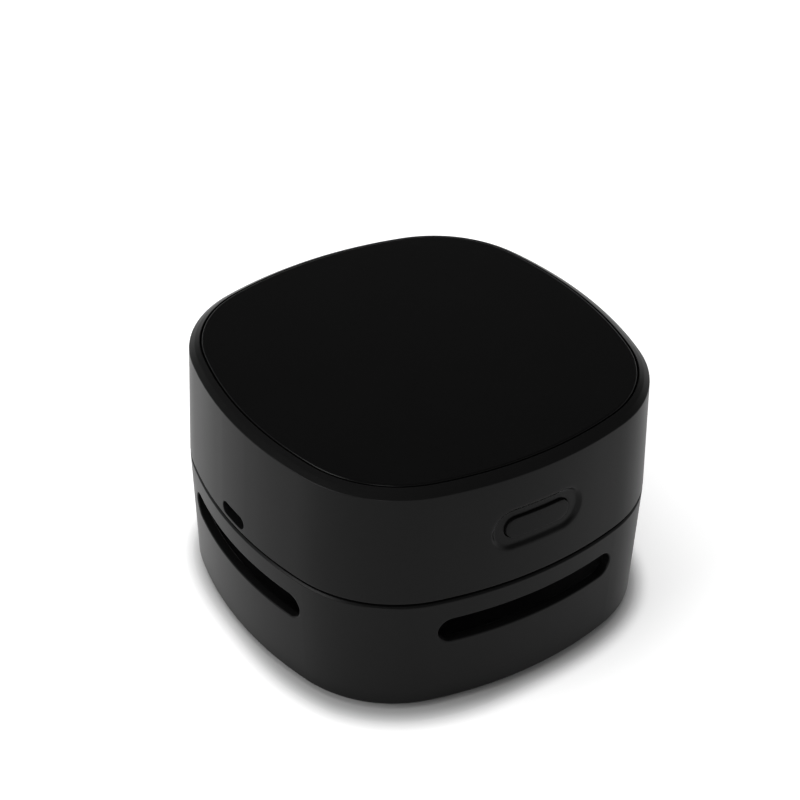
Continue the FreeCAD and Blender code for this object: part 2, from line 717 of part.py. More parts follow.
def make_filter():
    frame = Piece("filter_frame")
    plate = frame.sketch(level="ledge_level")
    draw_outline(plate, "ledge_inset + filter_clearance")
    frame.pad(plate, "filter_thickness")
    rebate = frame.sketch(level="ledge_level + filter_thickness")
    draw_circle(rebate, "0", "0", "filter_window + filter_border + seat_clearance")
    frame.pocket(rebate, "mesh_thickness")
    window = frame.sketch(level="ledge_level")
    draw_circle(window, "0", "0", "filter_window")
    frame.pocket(window, "filter_thickness", back=True)
    spoke = frame.sketch(level="ledge_level")
    draw_box(spoke, "0", "filter_window + filter_border / 2", "-spoke_width / 2", "spoke_width / 2")
    arm = frame.pad(spoke, "filter_thickness - mesh_thickness")
    frame.polar(arm, "4")
    hub = frame.sketch(level="ledge_level")
    draw_circle(hub, "0", "0", "hub_ring_radius + spoke_width / 2")
    frame.pad(hub, "filter_thickness - mesh_thickness")
    eye = frame.sketch(level="ledge_level")
    draw_circle(eye, "0", "0", "hub_ring_radius - spoke_width / 2")
    frame.pocket(eye, "filter_thickness", back=True)
    grip = frame.sketch(plane="YZ_Plane", level="grip_offset - grip_thickness / 2")
    foot = "ledge_level + filter_thickness - weld"
    draw_box(grip, "-grip_width / 2", "grip_width / 2", foot, "ledge_level + filter_thickness + grip_height")
    tab = frame.pad(grip, "grip_thickness")
    frame.mirror(tab, "YZ_Plane")

    mesh = Piece("filter_mesh")
    disc = mesh.sketch(level="ledge_level + filter_thickness")
    draw_circle(disc, "0", "0", "filter_window + filter_border")
    mesh.pad(disc, "mesh_thickness", back=True)


# ---------------------------------------------------------------------------------------------------
# screws
# ---------------------------------------------------------------------------------------------------

def draw_screw(sketch, head, length, up):
    """Half section of a pan-head screw; its shank runs up or down from under the head."""
    head_side = "(%s) %s screw_head_height" % (head, "-" if up else "+")
    tip = "(%s) %s (%s)" % (head, "+" if up else "-", length)
    draw_polygon(sketch, [
        ("0", head_side),
        ("screw_head_radius", head_side),
        ("screw_head_radius", head),
        ("screw_radius", head),
        ("screw_radius", tip),
        ("0", tip),
    ])


def make_upright_screws(label, place, head, length, up, count=None, mirror=None):
    """Group of equal screws that stand upright, repeated round the middle or mirrored."""
    screws = Piece(label, group=True)
    x, y = place
    section = screws.sketch(plane="XZ_Plane", level=minus(y), across=x)
    draw_screw(section, head, length, up)
    screw = screws.revolve(section)
    if count:
        screws.polar(screw, count)
    if mirror:
        screws.mirror(screw, mirror)


# ---------------------------------------------------------------------------------------------------
# motor deck, guard and fan
# ---------------------------------------------------------------------------------------------------

def make_motor_deck():
    deck = Piece("motor_deck")
    outside = deck.sketch(level="deck_bottom")
    draw_outline(outside, "deck_inset")
    deck.pad(outside, "deck_wall_top - deck_bottom")
    inside = deck.sketch(level="deck_wall_top")
    draw_outline(inside, "deck_inset + deck_wall")
    deck.pocket(inside, "deck_wall_top - deck_top")
    groove = deck.sketch(level="seal_level - seal_height / 2")
    draw_outline(groove, "deck_inset - seal_depth")
    draw_outline(groove, "deck_inset + seal_depth")
    deck.pocket(groove, "seal_height", back=True)
    add_motor_cup(deck)
    add_posts(deck)
    cut_deck_screws(deck)
    add_board_supports(deck)


def add_motor_cup(deck):
    """Cup that holds the motor upright, sunk a little into the deck."""
    cup = deck.sketch(level="deck_top")
    draw_flatted(cup, "cup_radius", "motor_flats + 2 * (seat_clearance + motor_cup_wall)")
    deck.pad(cup, "motor_cup_height")
    seat = deck.sketch(level="deck_top + motor_cup_height")
    draw_flatted(seat, "motor_radius + seat_clearance", "motor_flats + 2 * seat_clearance")
    deck.pocket(seat, "deck_top + motor_cup_height - motor_seat")
    bore = deck.sketch(level="deck_bottom")
    draw_circle(bore, "0", "0", "motor_boss_radius + seat_clearance")
    deck.pocket(bore, "deck_thickness", back=True)
    clamp = deck.sketch(level="deck_top")
    draw_circle(clamp, "0", "clamp_screw", "screw_radius + screw_fit")
    hole = deck.pocket(clamp, "deck_thickness")
    deck.polar(hole, "2")


def add_posts(deck):
    """Posts below the deck that carry the fan guard."""
    foot = deck.sketch(level="deck_bottom")
    draw_circle(foot, *diagonal("post_circle"), "post_radius")
    post = deck.pad(foot, "deck_bottom - guard_bottom - guard_pad", back=True)
    deck.polar(post, "4")
    pilot = deck.sketch(level="guard_bottom + guard_pad")
    draw_circle(pilot, *diagonal("post_circle"), "screw_radius + screw_fit")
    hole = deck.pocket(pilot, "small_screw_length + screw_tip_room", back=True)
    deck.polar(hole, "4")


def cut_deck_screws(deck):
    """Through holes, counterbored from below, for the screws into the upper shell."""
    hole = deck.sketch(level="deck_bottom")
    draw_circle(hole, *diagonal("boss_circle"), "screw_radius + seat_clearance")
    through = deck.pocket(hole, "deck_thickness", back=True)
    deck.polar(through, "4")
    counter = deck.sketch(level="deck_bottom")
    draw_circle(counter, *diagonal("boss_circle"), "screw_head_radius + seat_clearance")
    sink = deck.pocket(counter, "screw_head_height", back=True)
    deck.polar(sink, "4")


def add_board_supports(deck):
    """Pillars under the power board and the opening for its socket in the deck's wall."""
    foot = deck.sketch(level="deck_top")
    draw_circle(foot, minus("power_board_end + board_boss_radius"), "power_board_screws / 2", "board_boss_radius")
    pillar = deck.pad(foot, "board_bottom - deck_top")
    deck.mirror(pillar, "XZ_Plane")
    pilot = deck.sketch(level="board_bottom")
    draw_circle(pilot, minus("power_board_end + board_boss_radius"), "power_board_screws / 2",
                "screw_radius + screw_fit")
    hole = deck.pocket(pilot, "small_screw_length - board_thickness + seat_clearance")
    deck.mirror(hole, "XZ_Plane")
    notch = deck.sketch(level="deck_wall_top")
    half = "power_board_width / 2 + board_play"
    draw_box(notch, minus("half_width"), minus("power_board_end + board_boss_radius"), minus(half), half)
    deck.pocket(notch, "deck_wall_top - board_bottom")


def make_seal_ring():
    seal = Piece("seal_ring")
    ring = seal.sketch(level="seal_level - seal_height / 2")
    draw_outline(ring, "deck_inset - seal_proud")
    draw_outline(ring, "deck_inset + seal_depth")
    seal.pad(ring, "seal_height")


def make_fan_guard():
    guard = Piece("fan_guard")
    plate = guard.sketch(level="guard_bottom")
    draw_circle(plate, "0", "0", "guard_radius")
    draw_circle(plate, "0", "0", "guard_eye")
    guard.pad(plate, "guard_thickness")
    spoke = guard.sketch(level="guard_bottom")
    draw_box(spoke, "hub_radius", "guard_eye + guard_ring", "-guard_ring / 2", "guard_ring / 2")
    arm = guard.pad(spoke, "guard_thickness")
    guard.polar(arm, "guard_spokes")
    rings = guard.sketch(level="guard_bottom")
    middle = "(hub_radius + guard_eye) / 2"
    draw_circle(rings, "0", "0", middle + " + guard_ring / 2")
    draw_circle(rings, "0", "0", middle + " - guard_ring / 2")
    guard.pad(rings, "guard_thickness")
    boss = guard.sketch(level="guard_bottom")
    draw_circle(boss, "0", "0", "hub_radius + guard_ring")
    guard.pad(boss, "guard_thickness")
    pads = guard.sketch(level="guard_bottom")
    draw_circle(pads, *diagonal("post_circle"), "post_radius")
    pad = guard.pad(pads, "guard_pad")
    guard.polar(pad, "4")
    for radius, depth in (("screw_radius + seat_clearance", "guard_pad"),
                          ("screw_head_radius + seat_clearance", "screw_head_height")):
        bore = guard.sketch(level="guard_bottom")
        draw_circle(bore, *diagonal("post_circle"), radius)
        hole = guard.pocket(bore, depth, back=True)
        guard.polar(hole, "4")


def make_impeller():
    fan = Piece("impeller")
    plate = fan.sketch(level="impeller_top")
    draw_circle(plate, "0", "0", "impeller_radius")
    fan.pad(plate, "impeller_plate", back=True)
    hub = fan.sketch(level="impeller_top")
    draw_circle(hub, "0", "0", "hub_radius")
    fan.pad(hub, "impeller_height", back=True)
    fan.fillet("hub_nose", at_level("impeller_bottom"))
    blade = fan.sketch(level="impeller_bottom")
    start = "(0 - blade_centre_y) / blade_curve"
    end = "(blade_tip_y - blade_centre_y) / blade_curve"
    draw_band(blade, "blade_centre_x", "blade_centre_y", "blade_curve - blade_thickness / 2",
              "blade_curve + blade_thickness / 2", start, end)
    vane = fan.pad(blade, "impeller_height - impeller_plate / 2")
    fan.polar(vane, "blade_count")
    bore = fan.sketch(level="impeller_top")
    draw_circle(bore, "0", "0", "shaft_radius")
    fan.pocket(bore, "impeller_height - hub_nose")


# ---------------------------------------------------------------------------------------------------
# motor
# ---------------------------------------------------------------------------------------------------

def make_motor_can():
    can = Piece("motor_can")
    outside = can.sketch(level="motor_seat")
    draw_flatted(outside, "motor_radius", "motor_flats")
    can.pad(outside, "can_length")
    inside = can.sketch(level="can_top")
    draw_flatted(inside, "motor_radius - motor_sheet", "motor_flats - 2 * motor_sheet")
    can.pocket(inside, "can_length - motor_sheet")
    boss = can.sketch(level="motor_seat")
    draw_circle(boss, "0", "0", "motor_boss_radius")
    can.pad(boss, "motor_boss_length", back=True)
    bore = can.sketch(level="motor_seat - motor_boss_length")
    draw_circle(bore, "0", "0", "bush_radius")
    can.pocket(bore, "motor_boss_length + motor_sheet", back=True)


def make_motor_bush():
    bush = Piece("motor_bush")
    ring = bush.sketch(level="motor_seat - motor_boss_length")
    draw_circle(ring, "0", "0", "bush_radius")
    draw_circle(ring, "0", "0", "shaft_radius + shaft_clearance")
    bush.pad(ring, "bush_length")


def make_motor_end_cap():
    cap = Piece("motor_end_cap")
    outside = cap.sketch(level="can_top")
    draw_flatted(outside, "motor_radius", "motor_flats")
    cap.pad(outside, "end_cap_length")
    inside = cap.sketch(level="can_top")
    draw_circle(inside, "0", "0", "end_cap_bore")
    cap.pocket(inside, "end_cap_length - end_cap_top", back=True)
    bearing = cap.sketch(level="motor_top - end_cap_top")
    draw_circle(bearing, "0", "0", "shaft_radius + shaft_clearance")
    cap.pocket(bearing, "shaft_bearing + seat_clearance", back=True)


def make_motor_terminals():
    tabs = Piece("motor_terminals", group=True)
    tab = tabs.sketch(level="motor_top")
    edge = "motor_flats / 2 - terminal_setback"
    draw_box(tab, edge + " - terminal_thickness", edge, "-terminal_width / 2", "terminal_width / 2")
    blade = tabs.pad(tab, "terminal_height")
    tabs.mirror(blade, "YZ_Plane")


def make_magnets():
    magnets = Piece("motor_magnets", group=True)
    arc = magnets.sketch(level="motor_seat + magnet_lift")
    draw_band(arc, "0", "0", "magnet_inner", "magnet_outer", "-sin(magnet_half_angle)", "sin(magnet_half_angle)")
    arc.AttachmentOffset = FreeCAD.Placement(Vector(0, 0, 0), FreeCAD.Rotation(Vector(0, 0, 1), 90))
    magnet = magnets.pad(arc, "magnet_length")
    magnets.mirror(magnet, "XZ_Plane")


def make_rotor():
    shaft = Piece("motor_shaft")
    section = shaft.sketch(level="impeller_bottom + hub_nose")
    draw_circle(section, "0", "0", "shaft_radius")
    shaft.pad(section, "motor_top - end_cap_top + shaft_bearing - impeller_bottom - hub_nose")

    core = Piece("motor_armature")
    disc = core.sketch(level="motor_seat + core_lift")
    draw_circle(disc, "0", "0", "core_radius")
    draw_circle(disc, "0", "0", "shaft_radius")
    core.pad(disc, "core_length")
    slot = core.sketch(level="motor_seat + core_lift")
    draw_box(slot, "core_radius / 2", "core_radius + core_slot", "-core_slot / 2", "core_slot / 2")
    cut = core.pocket(slot, "core_length", back=True)
    core.polar(cut, "3")

    commutator = Piece("motor_commutator")
    drum = commutator.sketch(level="motor_top - end_cap_top - commutator_gap")
    draw_circle(drum, "0", "0", "commutator_radius")
    draw_circle(drum, "0", "0", "shaft_radius")
    commutator.pad(drum, "commutator_length", back=True)


def make_motor_clamp():
    """Strap bent over the motor, with a foot at each end screwed to the deck."""
    clamp = Piece("motor_clamp")
    profile = clamp.sketch(plane="YZ_Plane")
    outer = "clamp_leg + clamp_sheet"
    toe = outer + " + clamp_foot"
    right = [("clamp_leg", "deck_top"), (toe, "deck_top"), (toe, "deck_top + clamp_sheet"),
             (outer, "deck_top + clamp_sheet"), (outer, "motor_top + clamp_sheet")]
    left = [(minus(y), z) for y, z in reversed(right)]
    under = [(minus("clamp_leg"), "motor_top"), ("clamp_leg", "motor_top")]
    draw_polygon(profile, right + left + under)
    clamp.pad(profile, "clamp_width", both=True)
    holes = clamp.sketch(level="deck_top")
    draw_circle(holes, "0", "clamp_screw", "screw_radius + seat_clearance")
    hole = clamp.pocket(holes, "clamp_sheet", back=True)
    clamp.polar(hole, "2")


# ---------------------------------------------------------------------------------------------------
# upper shell and cover
# ---------------------------------------------------------------------------------------------------

def make_upper_housing():
    shell = Piece("upper_housing")
    outside = shell.sketch(level="shell_bottom")
    draw_outline(outside, "0")
    shell.pad(outside, "top_level - shell_bottom", taper="-upper_draft")
    shell.fillet("rim_radius", at_level("top_level"))
    inside = shell.sketch(level="shell_bottom")
    draw_outline(inside, "wall")
    shell.pocket(inside, "tray_bottom - shell_bottom", taper="-upper_draft", back=True)
    seat = shell.sketch(level="top_level")
    draw_outline(seat, "cover_inset")
    shell.pocket(seat, "cover_thickness")
    add_cell_bays(shell)
    add_deck_bosses(shell)
    add_switch_bosses(shell)
    cut_button_recess(shell)
    port = shell.sketch(plane="YZ_Plane", level=minus("side_at_port + wall"))
    draw_stadium(port, "0", "port_level", "port_length", "port_width")
    shell.pocket(port, "3 * wall", back=True)


def add_cell_bays(shell):
    """Two round-bottomed troughs that hang from the tray and hold the cells."""
    trough = shell.sketch(plane="XZ_Plane", level=minus("bay_half + trough_wall"))
    draw_trough(trough, "cell_offset", "cell_level", "trough_radius", "tray_bottom + weld")
    bay = shell.pad(trough, "2 * (bay_half + trough_wall)")
    shell.mirror(bay, "YZ_Plane")
    hollow = shell.sketch(plane="XZ_Plane", level="bay_half")
    draw_trough(hollow, "cell_offset", "cell_level", "bay_radius", "cover_seat + weld")
    cut = shell.pocket(hollow, "2 * bay_half")
    shell.mirror(cut, "YZ_Plane")
    slot = shell.sketch(level="cover_seat")
    reach = "cell_offset + contact_width / 2 + seat_clearance"
    draw_box(slot, minus(reach), reach, "contact_face - contact_play", "bay_half")
    shell.pocket(slot, "cover_seat - cell_level + contact_height / 2 + seat_clearance")
    exit_slot = shell.sketch(plane="XZ_Plane", level="bay_half + trough_wall")
    half = "solder_tab_width / 2 + contact_play"
    thin = "leaf_thickness / 2 + contact_play"
    draw_box(exit_slot, "cell_offset - (%s)" % half, "cell_offset + (%s)" % half,
             "tab_level - (%s)" % thin, "tab_level + (%s)" % thin)
    opening = shell.pocket(exit_slot, "trough_wall")
    shell.mirror(opening, "YZ_Plane")


def add_deck_bosses(shell):
    foot = shell.sketch(level="deck_top")
    draw_circle(foot, *diagonal("boss_circle"), "boss_radius")
    boss = shell.pad(foot, "tray_bottom - deck_top")
    shell.polar(boss, "4")
    pilot = shell.sketch(level="deck_top")
    draw_circle(pilot, *diagonal("boss_circle"), "screw_radius + screw_fit")
    hole = shell.pocket(pilot, "screw_length", back=True)
    shell.polar(hole, "4")


def add_switch_bosses(shell):
    """Bosses on the ends of the troughs that carry the switch's board."""
    end = shell.sketch(plane="XZ_Plane", level="bay_half + trough_wall")
    draw_circle(end, "board_screw_offset", "button_level", "board_boss_radius")
    boss = shell.pad(end, "board_boss")
    shell.mirror(boss, "YZ_Plane")
    pilot = shell.sketch(plane="XZ_Plane", level="bay_half + trough_wall + board_boss")
    draw_circle(pilot, "board_screw_offset", "button_level", "screw_radius + screw_fit")
    hole = shell.pocket(pilot, "board_boss + trough_wall / 2")
    shell.mirror(hole, "YZ_Plane")


def cut_button_recess(shell):
    """Dished recess whose floor follows the bowed, leaning wall, with the button's hole in it."""
    backing = shell.sketch(plane="XZ_Plane", level="recess_back")
    draw_stadium(backing, "0", "button_level", "recess_length + 2 * wall", "recess_width + 2 * wall")
    shell.pad(backing, "recess_depth + weld")
    shell.cut_with(make_recess_tool())
    floor_gap = number("recess_depth") / 2
    low = number("button_level - recess_width / 2")
    high = number("button_level + recess_width / 2")
    reach = number("recess_length") / 2
    front = number("recess_floor") - number("recess_depth")

    def on_recess(edge):
        box = edge.BoundBox
        inside = box.ZMin > low - floor_gap and box.ZMax < high + floor_gap
        return inside and box.YMax < -front and max(abs(box.XMin), abs(box.XMax)) < reach + floor_gap
    shell.chamfer("recess_edge", on_recess)
    hole = shell.sketch(plane="XZ_Plane", level="half_width")
    draw_stadium(hole, "0", "button_level", "button_length + 2 * button_gap", "button_width + 2 * button_gap")
    shell.pocket(hole, "half_width - recess_back + wall")


LAYER_TURN = 30.0


def make_wall_layer(label, depth, low, high):
    """Body outside a surface that lies below the front wall by a depth and leans as it does."""
    layer = Piece(label)
    section = layer.sketch(plane="YZ_Plane", across="side_radius - half_width")
    face = "side_radius - (%s)" % depth
    low_shift = "((%s) - shell_bottom) * upper_slope" % low
    high_shift = "((%s) - shell_bottom) * upper_slope" % high
    outer = minus("side_radius + recess_width / 2")
    draw_polygon(section, [(minus(face + " - " + low_shift), low), (outer, low), (outer, high),
                           (minus(face + " - " + high_shift), high)])
    turned = layer.revolve(section)
    turned.Angle = LAYER_TURN
    turned.Midplane = True
    return layer


def make_recess_tool():
    """What the recess takes out of the wall."""
    low = "button_level - recess_width"
    high = "button_level + recess_width"
    tool = make_wall_layer("recess_tool", "recess_depth", low, high)
    frame = tool.sketch(plane="XZ_Plane", level="half_width + recess_width")
    draw_box(frame, "-2 * recess_length", "2 * recess_length", "button_level - 2 * recess_width",
             "button_level + 2 * recess_width")
    draw_stadium(frame, "0", "button_level", "recess_length", "recess_width")
    tool.pocket(frame, "half_width")
    return tool


def make_top_cover():
    cover = Piece("top_cover")
    plate = cover.sketch(level="cover_seat")
    draw_outline(plate, "cover_inset + cover_seam")
    cover.pad(plate, "cover_thickness")
    cover.chamfer("cover_edge", at_level("top_level"))
    for middle in ("cell_offset", "-cell_offset"):
        rib = cover.sketch(level="cover_seat")
        draw_box(rib, middle + " - cover_rib_length / 2", middle + " + cover_rib_length / 2",
                 "(bay_half - cover_rib_width) / 2", "(bay_half + cover_rib_width) / 2")
        bar = cover.pad(rib, "cover_rib_height", back=True)
        cover.polar(bar, "2")


# ---------------------------------------------------------------------------------------------------
# cells and contacts
# ---------------------------------------------------------------------------------------------------

def make_cell(label, side):
    """Round cell along Y; on the left its nub points to the front, on the right to the back."""
    cell = Piece(label)
    section = cell.sketch(level="cell_level", across="%d * cell_offset" % side)
    near, far = "cell_near_end", "cell_far_end"
    profile = [
        ("0", near),
        ("cell_nub_radius", near),
        ("cell_nub_radius", near + " - cell_nub_length"),
        ("cell_diameter / 2 - cell_edge", near + " - cell_nub_length"),
        ("cell_diameter / 2", near + " - cell_nub_length - cell_edge"),
        ("cell_diameter / 2", minus(far + " - cell_edge")),
        ("cell_diameter / 2 - cell_edge", minus(far)),
        ("0", minus(far)),
    ]
    draw_polygon(section, [(x, "%d * (%s)" % (side, y)) for x, y in profile])
    cell.revolve(section)


def draw_leaf(sketch, facing):
    """Bent leaf that springs off its plate, as seen from the side."""
    plate = "contact_face"
    tip = "cell_far_end + cell_end_gap"
    top = "cell_level + contact_height / 2"
    low = "cell_level - contact_height / 2 + leaf_lift"
    middle = "cell_level"
    thin = "leaf_thickness"
    points = [
        (plate + " + contact_thickness / 2", top),
        (plate + " + contact_thickness / 2", top + " - " + thin),
        (tip + " + 1.5 * " + thin, middle),
        (plate + " - leaf_foot", low),
        (plate + " - leaf_foot - " + thin, low),
        (tip, middle),
        (plate + " - " + thin, top),
    ]
    draw_polygon(sketch, [("%d * (%s)" % (facing, y), z) for y, z in points])


def add_leaf(contact, x, facing):
    side = contact.sketch(plane="YZ_Plane", level=x + " - leaf_width / 2")
    draw_leaf(side, facing)
    contact.pad(side, "leaf_width")


def make_contacts():
    low, high = "cell_level - contact_height / 2", "cell_level + contact_height / 2"
    bridge = Piece("cell_bridge")
    strip = bridge.sketch(plane="XZ_Plane", level=minus("bay_half"))
    reach = "cell_offset + contact_width / 2"
    draw_box(strip, minus(reach), reach, low, high)
    bridge.pad(strip, "contact_thickness")
    add_leaf(bridge, "-cell_offset", 1)
    for label, side in (("terminal_plate", -1), ("terminal_spring", 1)):
        contact = Piece(label)
        plate = contact.sketch(plane="XZ_Plane", level="contact_face")
        middle = "%d * cell_offset" % side
        draw_box(plate, middle + " - contact_width / 2", middle + " + contact_width / 2", low, high)
        contact.pad(plate, "contact_thickness")
        tab = contact.sketch(plane="XZ_Plane", level="contact_face")
        draw_box(tab, middle + " - solder_tab_width / 2", middle + " + solder_tab_width / 2",
                 "tab_level - leaf_thickness / 2", "tab_level + leaf_thickness / 2")
        contact.pad(tab, "tab_tip - contact_face")
        if label == "terminal_spring":
            add_leaf(contact, "cell_offset", -1)


# ---------------------------------------------------------------------------------------------------
# button and switch
# ---------------------------------------------------------------------------------------------------

def make_power_button():
    """Cap with a face that follows the front wall, and the flange that keeps it in."""
    button = Piece("power_button")
    cap = button.sketch(plane="XZ_Plane", level="flange_back")
    draw_stadium(cap, "0", "button_level", "button_length", "button_width")
    button.pad(cap, "half_width - flange_back")
    low = "button_level - recess_width"
    high = "button_level + recess_width"
    button.cut_with(make_wall_layer("button_tool", "recess_depth - button_proud", low, high))
    front = number("flange_front")
    button.fillet("button_edge", lambda edge: edge.BoundBox.YMax < -front)
    flange = button.sketch(plane="XZ_Plane", level="flange_back")
    draw_stadium(flange, "0", "button_level", "button_length + 2 * button_flange",
                 "button_width + 2 * button_flange")
    button.pad(flange, "button_flange")


def make_switch():
    plunger = Piece("switch_plunger")
    stem = plunger.sketch(plane="XZ_Plane", level="flange_back")
    draw_box(stem, "-plunger_size / 2", "plunger_size / 2", "button_level - plunger_size / 2",
             "button_level + plunger_size / 2")
    plunger.pad(stem, "plunger_reach", back=True)

    body = Piece("switch_body")
    block = body.sketch(plane="XZ_Plane", level="switch_back")
    draw_box(block, "-switch_size / 2", "switch_size / 2", "button_level - switch_size / 2",
             "button_level + switch_size / 2")
    body.pad(block, "switch_depth")
    bore = body.sketch(plane="XZ_Plane", level="switch_front")
    half = "plunger_size / 2 + seat_clearance"
    draw_box(bore, minus(half), half, "button_level - (%s)" % half, "button_level + (%s)" % half)
    body.pocket(bore, "switch_depth - switch_floor")

    board = Piece("switch_board")
    panel = board.sketch(plane="XZ_Plane", level="switch_back - board_thickness")
    draw_box(panel, "-switch_board_width / 2", "switch_board_width / 2",
             "button_level - switch_board_height / 2", "button_level + switch_board_height / 2")
    board.pad(panel, "board_thickness")
    screw = board.sketch(plane="XZ_Plane", level="switch_back")
    draw_circle(screw, "board_screw_offset", "button_level", "screw_radius + seat_clearance")
    hole = board.pocket(screw, "board_thickness")
    board.mirror(hole, "YZ_Plane")


def make_switch_screws():
    screws = Piece("switch_screws", group=True)
    section = screws.sketch(level="button_level", across="board_screw_offset")
    draw_screw(section, minus("switch_back"), "board_thickness + board_boss + trough_wall / 2 - seat_clearance", True)
    screw = screws.revolve(section)
    screws.mirror(screw, "YZ_Plane")


# ---------------------------------------------------------------------------------------------------
# power inlet
# ---------------------------------------------------------------------------------------------------

def make_power_board():
    board = Piece("power_board")
    panel = board.sketch(level="board_bottom")
    draw_box(panel, minus("power_board_front"), minus("power_board_end"), "-power_board_width / 2",
             "power_board_width / 2")
    board.pad(panel, "board_thickness")
    screw = board.sketch(level="board_top")
    draw_circle(screw, minus("power_board_end + board_boss_radius"), "power_board_screws / 2",
                "screw_radius + seat_clearance")
    hole = board.pocket(screw, "board_thickness")
    board.mirror(hole, "XZ_Plane")


def make_power_socket():
    """Sheet-metal socket shell with its tongue inside, standing on the board."""
    socket = Piece("power_socket")
    shell = socket.sketch(plane="YZ_Plane", level=minus("socket_mouth"))
    draw_box(shell, "-socket_width / 2", "socket_width / 2", "board_top", "board_top + socket_height")
    socket.pad(shell, "socket_depth")
    mouth = socket.sketch(plane="YZ_Plane", level=minus("socket_mouth"))
    draw_box(mouth, "-socket_width / 2 + socket_sheet", "socket_width / 2 - socket_sheet",
             "board_top + socket_sheet", "board_top + socket_height - socket_sheet")
    socket.pocket(mouth, "socket_depth - socket_sheet", back=True)
    tongue = socket.sketch(plane="YZ_Plane", level=minus("socket_mouth - tongue_setback"))
    draw_box(tongue, "-socket_width / 4", "socket_width / 4", "port_level", "port_level + socket_tongue")
    socket.pad(tongue, "socket_depth - tongue_setback")


def make_charge_chip():
    """Charge controller and a capacitor on the power board, as a group of blocks."""
    parts = Piece("board_parts", group=True)
    middle = "power_board_end + power_board_length / 2 + chip_setback"
    chip = parts.sketch(level="board_top")
    draw_box(chip, minus(middle), "-(%s) + chip_width" % middle, "-chip_length / 2", "chip_length / 2")
    parts.pad(chip, "chip_height")
    coil = parts.sketch(level="board_top")
    draw_circle(coil, "-(%s) + chip_width / 2" % middle, "chip_length", "chip_width / 2")
    parts.pad(coil, "chip_height")


# ---------------------------------------------------------------------------------------------------
# leads
# ---------------------------------------------------------------------------------------------------

def round_path(points):
    """Wire of straight runs joined by arcs that touch them."""
    edges = []
    start = points[0]
    for before, corner, after in zip(points, points[1:], points[2:]):
        into = (corner - before).normalize()
        out = (after - corner).normalize()
        half_turn = into.getAngle(out) / 2
        cut = 0.45 * min(before.distanceToPoint(corner), corner.distanceToPoint(after))
        radius = cut / math.tan(half_turn)
        entry = corner - into * cut
        leave = corner + out * cut
        bulge = (out - into).normalize()
        middle = corner + bulge * (radius / math.cos(half_turn) - radius)
        edges.append(Part.LineSegment(start, entry).toShape())
        edges.append(Part.Arc(entry, middle, leave).toShape())
        start = leave
    edges.append(Part.LineSegment(start, points[-1]).toShape())
    return Part.Wire(edges)


def make_lead(label, route):
    """Insulated lead along a route of points given as triples of expressions."""
    points = [Vector(number(x), number(y), number(z)) for x, y, z in route]
    path = round_path(points)
    radius = number("lead_radius")
    direction = points[1] - points[0]
    section = Part.Wire(Part.makeCircle(radius, points[0], direction))
    lead = document.addObject("Part::Feature", label)
    lead.Label = label
    lead.Shape = path.makePipeShell([section], True, True)
    area = math.pi * radius * radius
    if abs(lead.Shape.Volume / (area * path.Length) - 1) > 0.02:
        raise RuntimeError("%s isn't as long as its route" % label)


def make_leads():
    over_motor = "(motor_top + tray_bottom) / 2"
    terminal = "motor_flats / 2 - terminal_setback - terminal_thickness / 2"
    behind_board = minus("switch_back - board_thickness")
    landing = minus("power_board_end + lead_run")
    make_lead("motor_lead_front", [
        (terminal, "-terminal_width / 2", over_motor),
        (terminal, minus("clamp_leg + lead_run"), over_motor),
        ("switch_size / 2", behind_board + " + lead_run", "button_level"),
        ("switch_size / 2", behind_board, "button_level"),
    ])
    make_lead("motor_lead_back", [
        (minus(terminal), "terminal_width / 2", over_motor),
        (minus(terminal), "clamp_leg + lead_run", over_motor),
        (minus(terminal), "clamp_leg + lead_run", "board_top + 2 * lead_run"),
        (landing, "clamp_leg", "board_top + lead_run"),
        (landing, "0", "board_top + lead_run"),
        (landing, "0", "board_top"),
    ])


# ---------------------------------------------------------------------------------------------------
# whole object
# ---------------------------------------------------------------------------------------------------

def make_screws():
    make_upright_screws("deck_screws", diagonal("boss_circle"), "deck_bottom + screw_head_height",
                        "screw_length - screw_tip_room", True, count="4")
    make_upright_screws("guard_screws", diagonal("post_circle"), "guard_bottom + screw_head_height",
                        "small_screw_length", True, count="4")
    make_upright_screws("clamp_screws", ("0", "clamp_screw"), "deck_top + clamp_sheet",
                        "clamp_sheet + deck_thickness - seat_clearance", False, count="2")
    make_upright_screws("power_board_screws",
                        (minus("power_board_end + board_boss_radius"), "power_board_screws / 2"),
                        "board_top", "small_screw_length", False, mirror="XZ_Plane")
    make_switch_screws()


def make_all():
    make_dust_bowl()
    make_glide_feet()
    make_brush()
    make_filter()
    make_motor_deck()
    make_seal_ring()
    make_fan_guard()
    make_impeller()
    make_motor_can()
    make_motor_bush()
    make_motor_end_cap()
    make_motor_terminals()
    make_magnets()
    make_rotor()
    make_motor_clamp()
    make_upper_housing()
    make_top_cover()
    make_cell("cell_left", -1)
    make_cell("cell_right", 1)
    make_contacts()
    make_power_button()
    make_switch()
    make_power_board()
    make_power_socket()
    make_charge_chip()
    make_screws()
    make_leads()


TOOLS = ("recess_tool", "button_tool")


def check_features():
    """Stop if a feature failed or a cut took nothing away."""
    for item in document.Objects:
        if "Invalid" in item.State or "Error" in item.State:
            raise RuntimeError("%s: %s" % (item.Name, item.State))
        if item.TypeId in ("PartDesign::Pocket", "PartDesign::Groove"):
            before = item.BaseFeature.Shape.Volume
            if before - item.Shape.Volume < 0.001:
                raise RuntimeError("%s cuts nothing" % item.Name)


def export_parts():
    os.makedirs("parts", exist_ok=True)
    for body in document.Objects:
        if body.TypeId not in ("PartDesign::Body", "Part::Feature") or body.Label in TOOLS:
            continue
        shape = body.Shape
        if shape.isNull() or not shape.isValid():
            raise RuntimeError("%s has no valid shape" % body.Label)
        shape.exportStep(os.path.join("parts", body.Label + ".step"))


fill_sheet()
make_all()
document.recompute()
check_features()
export_parts()
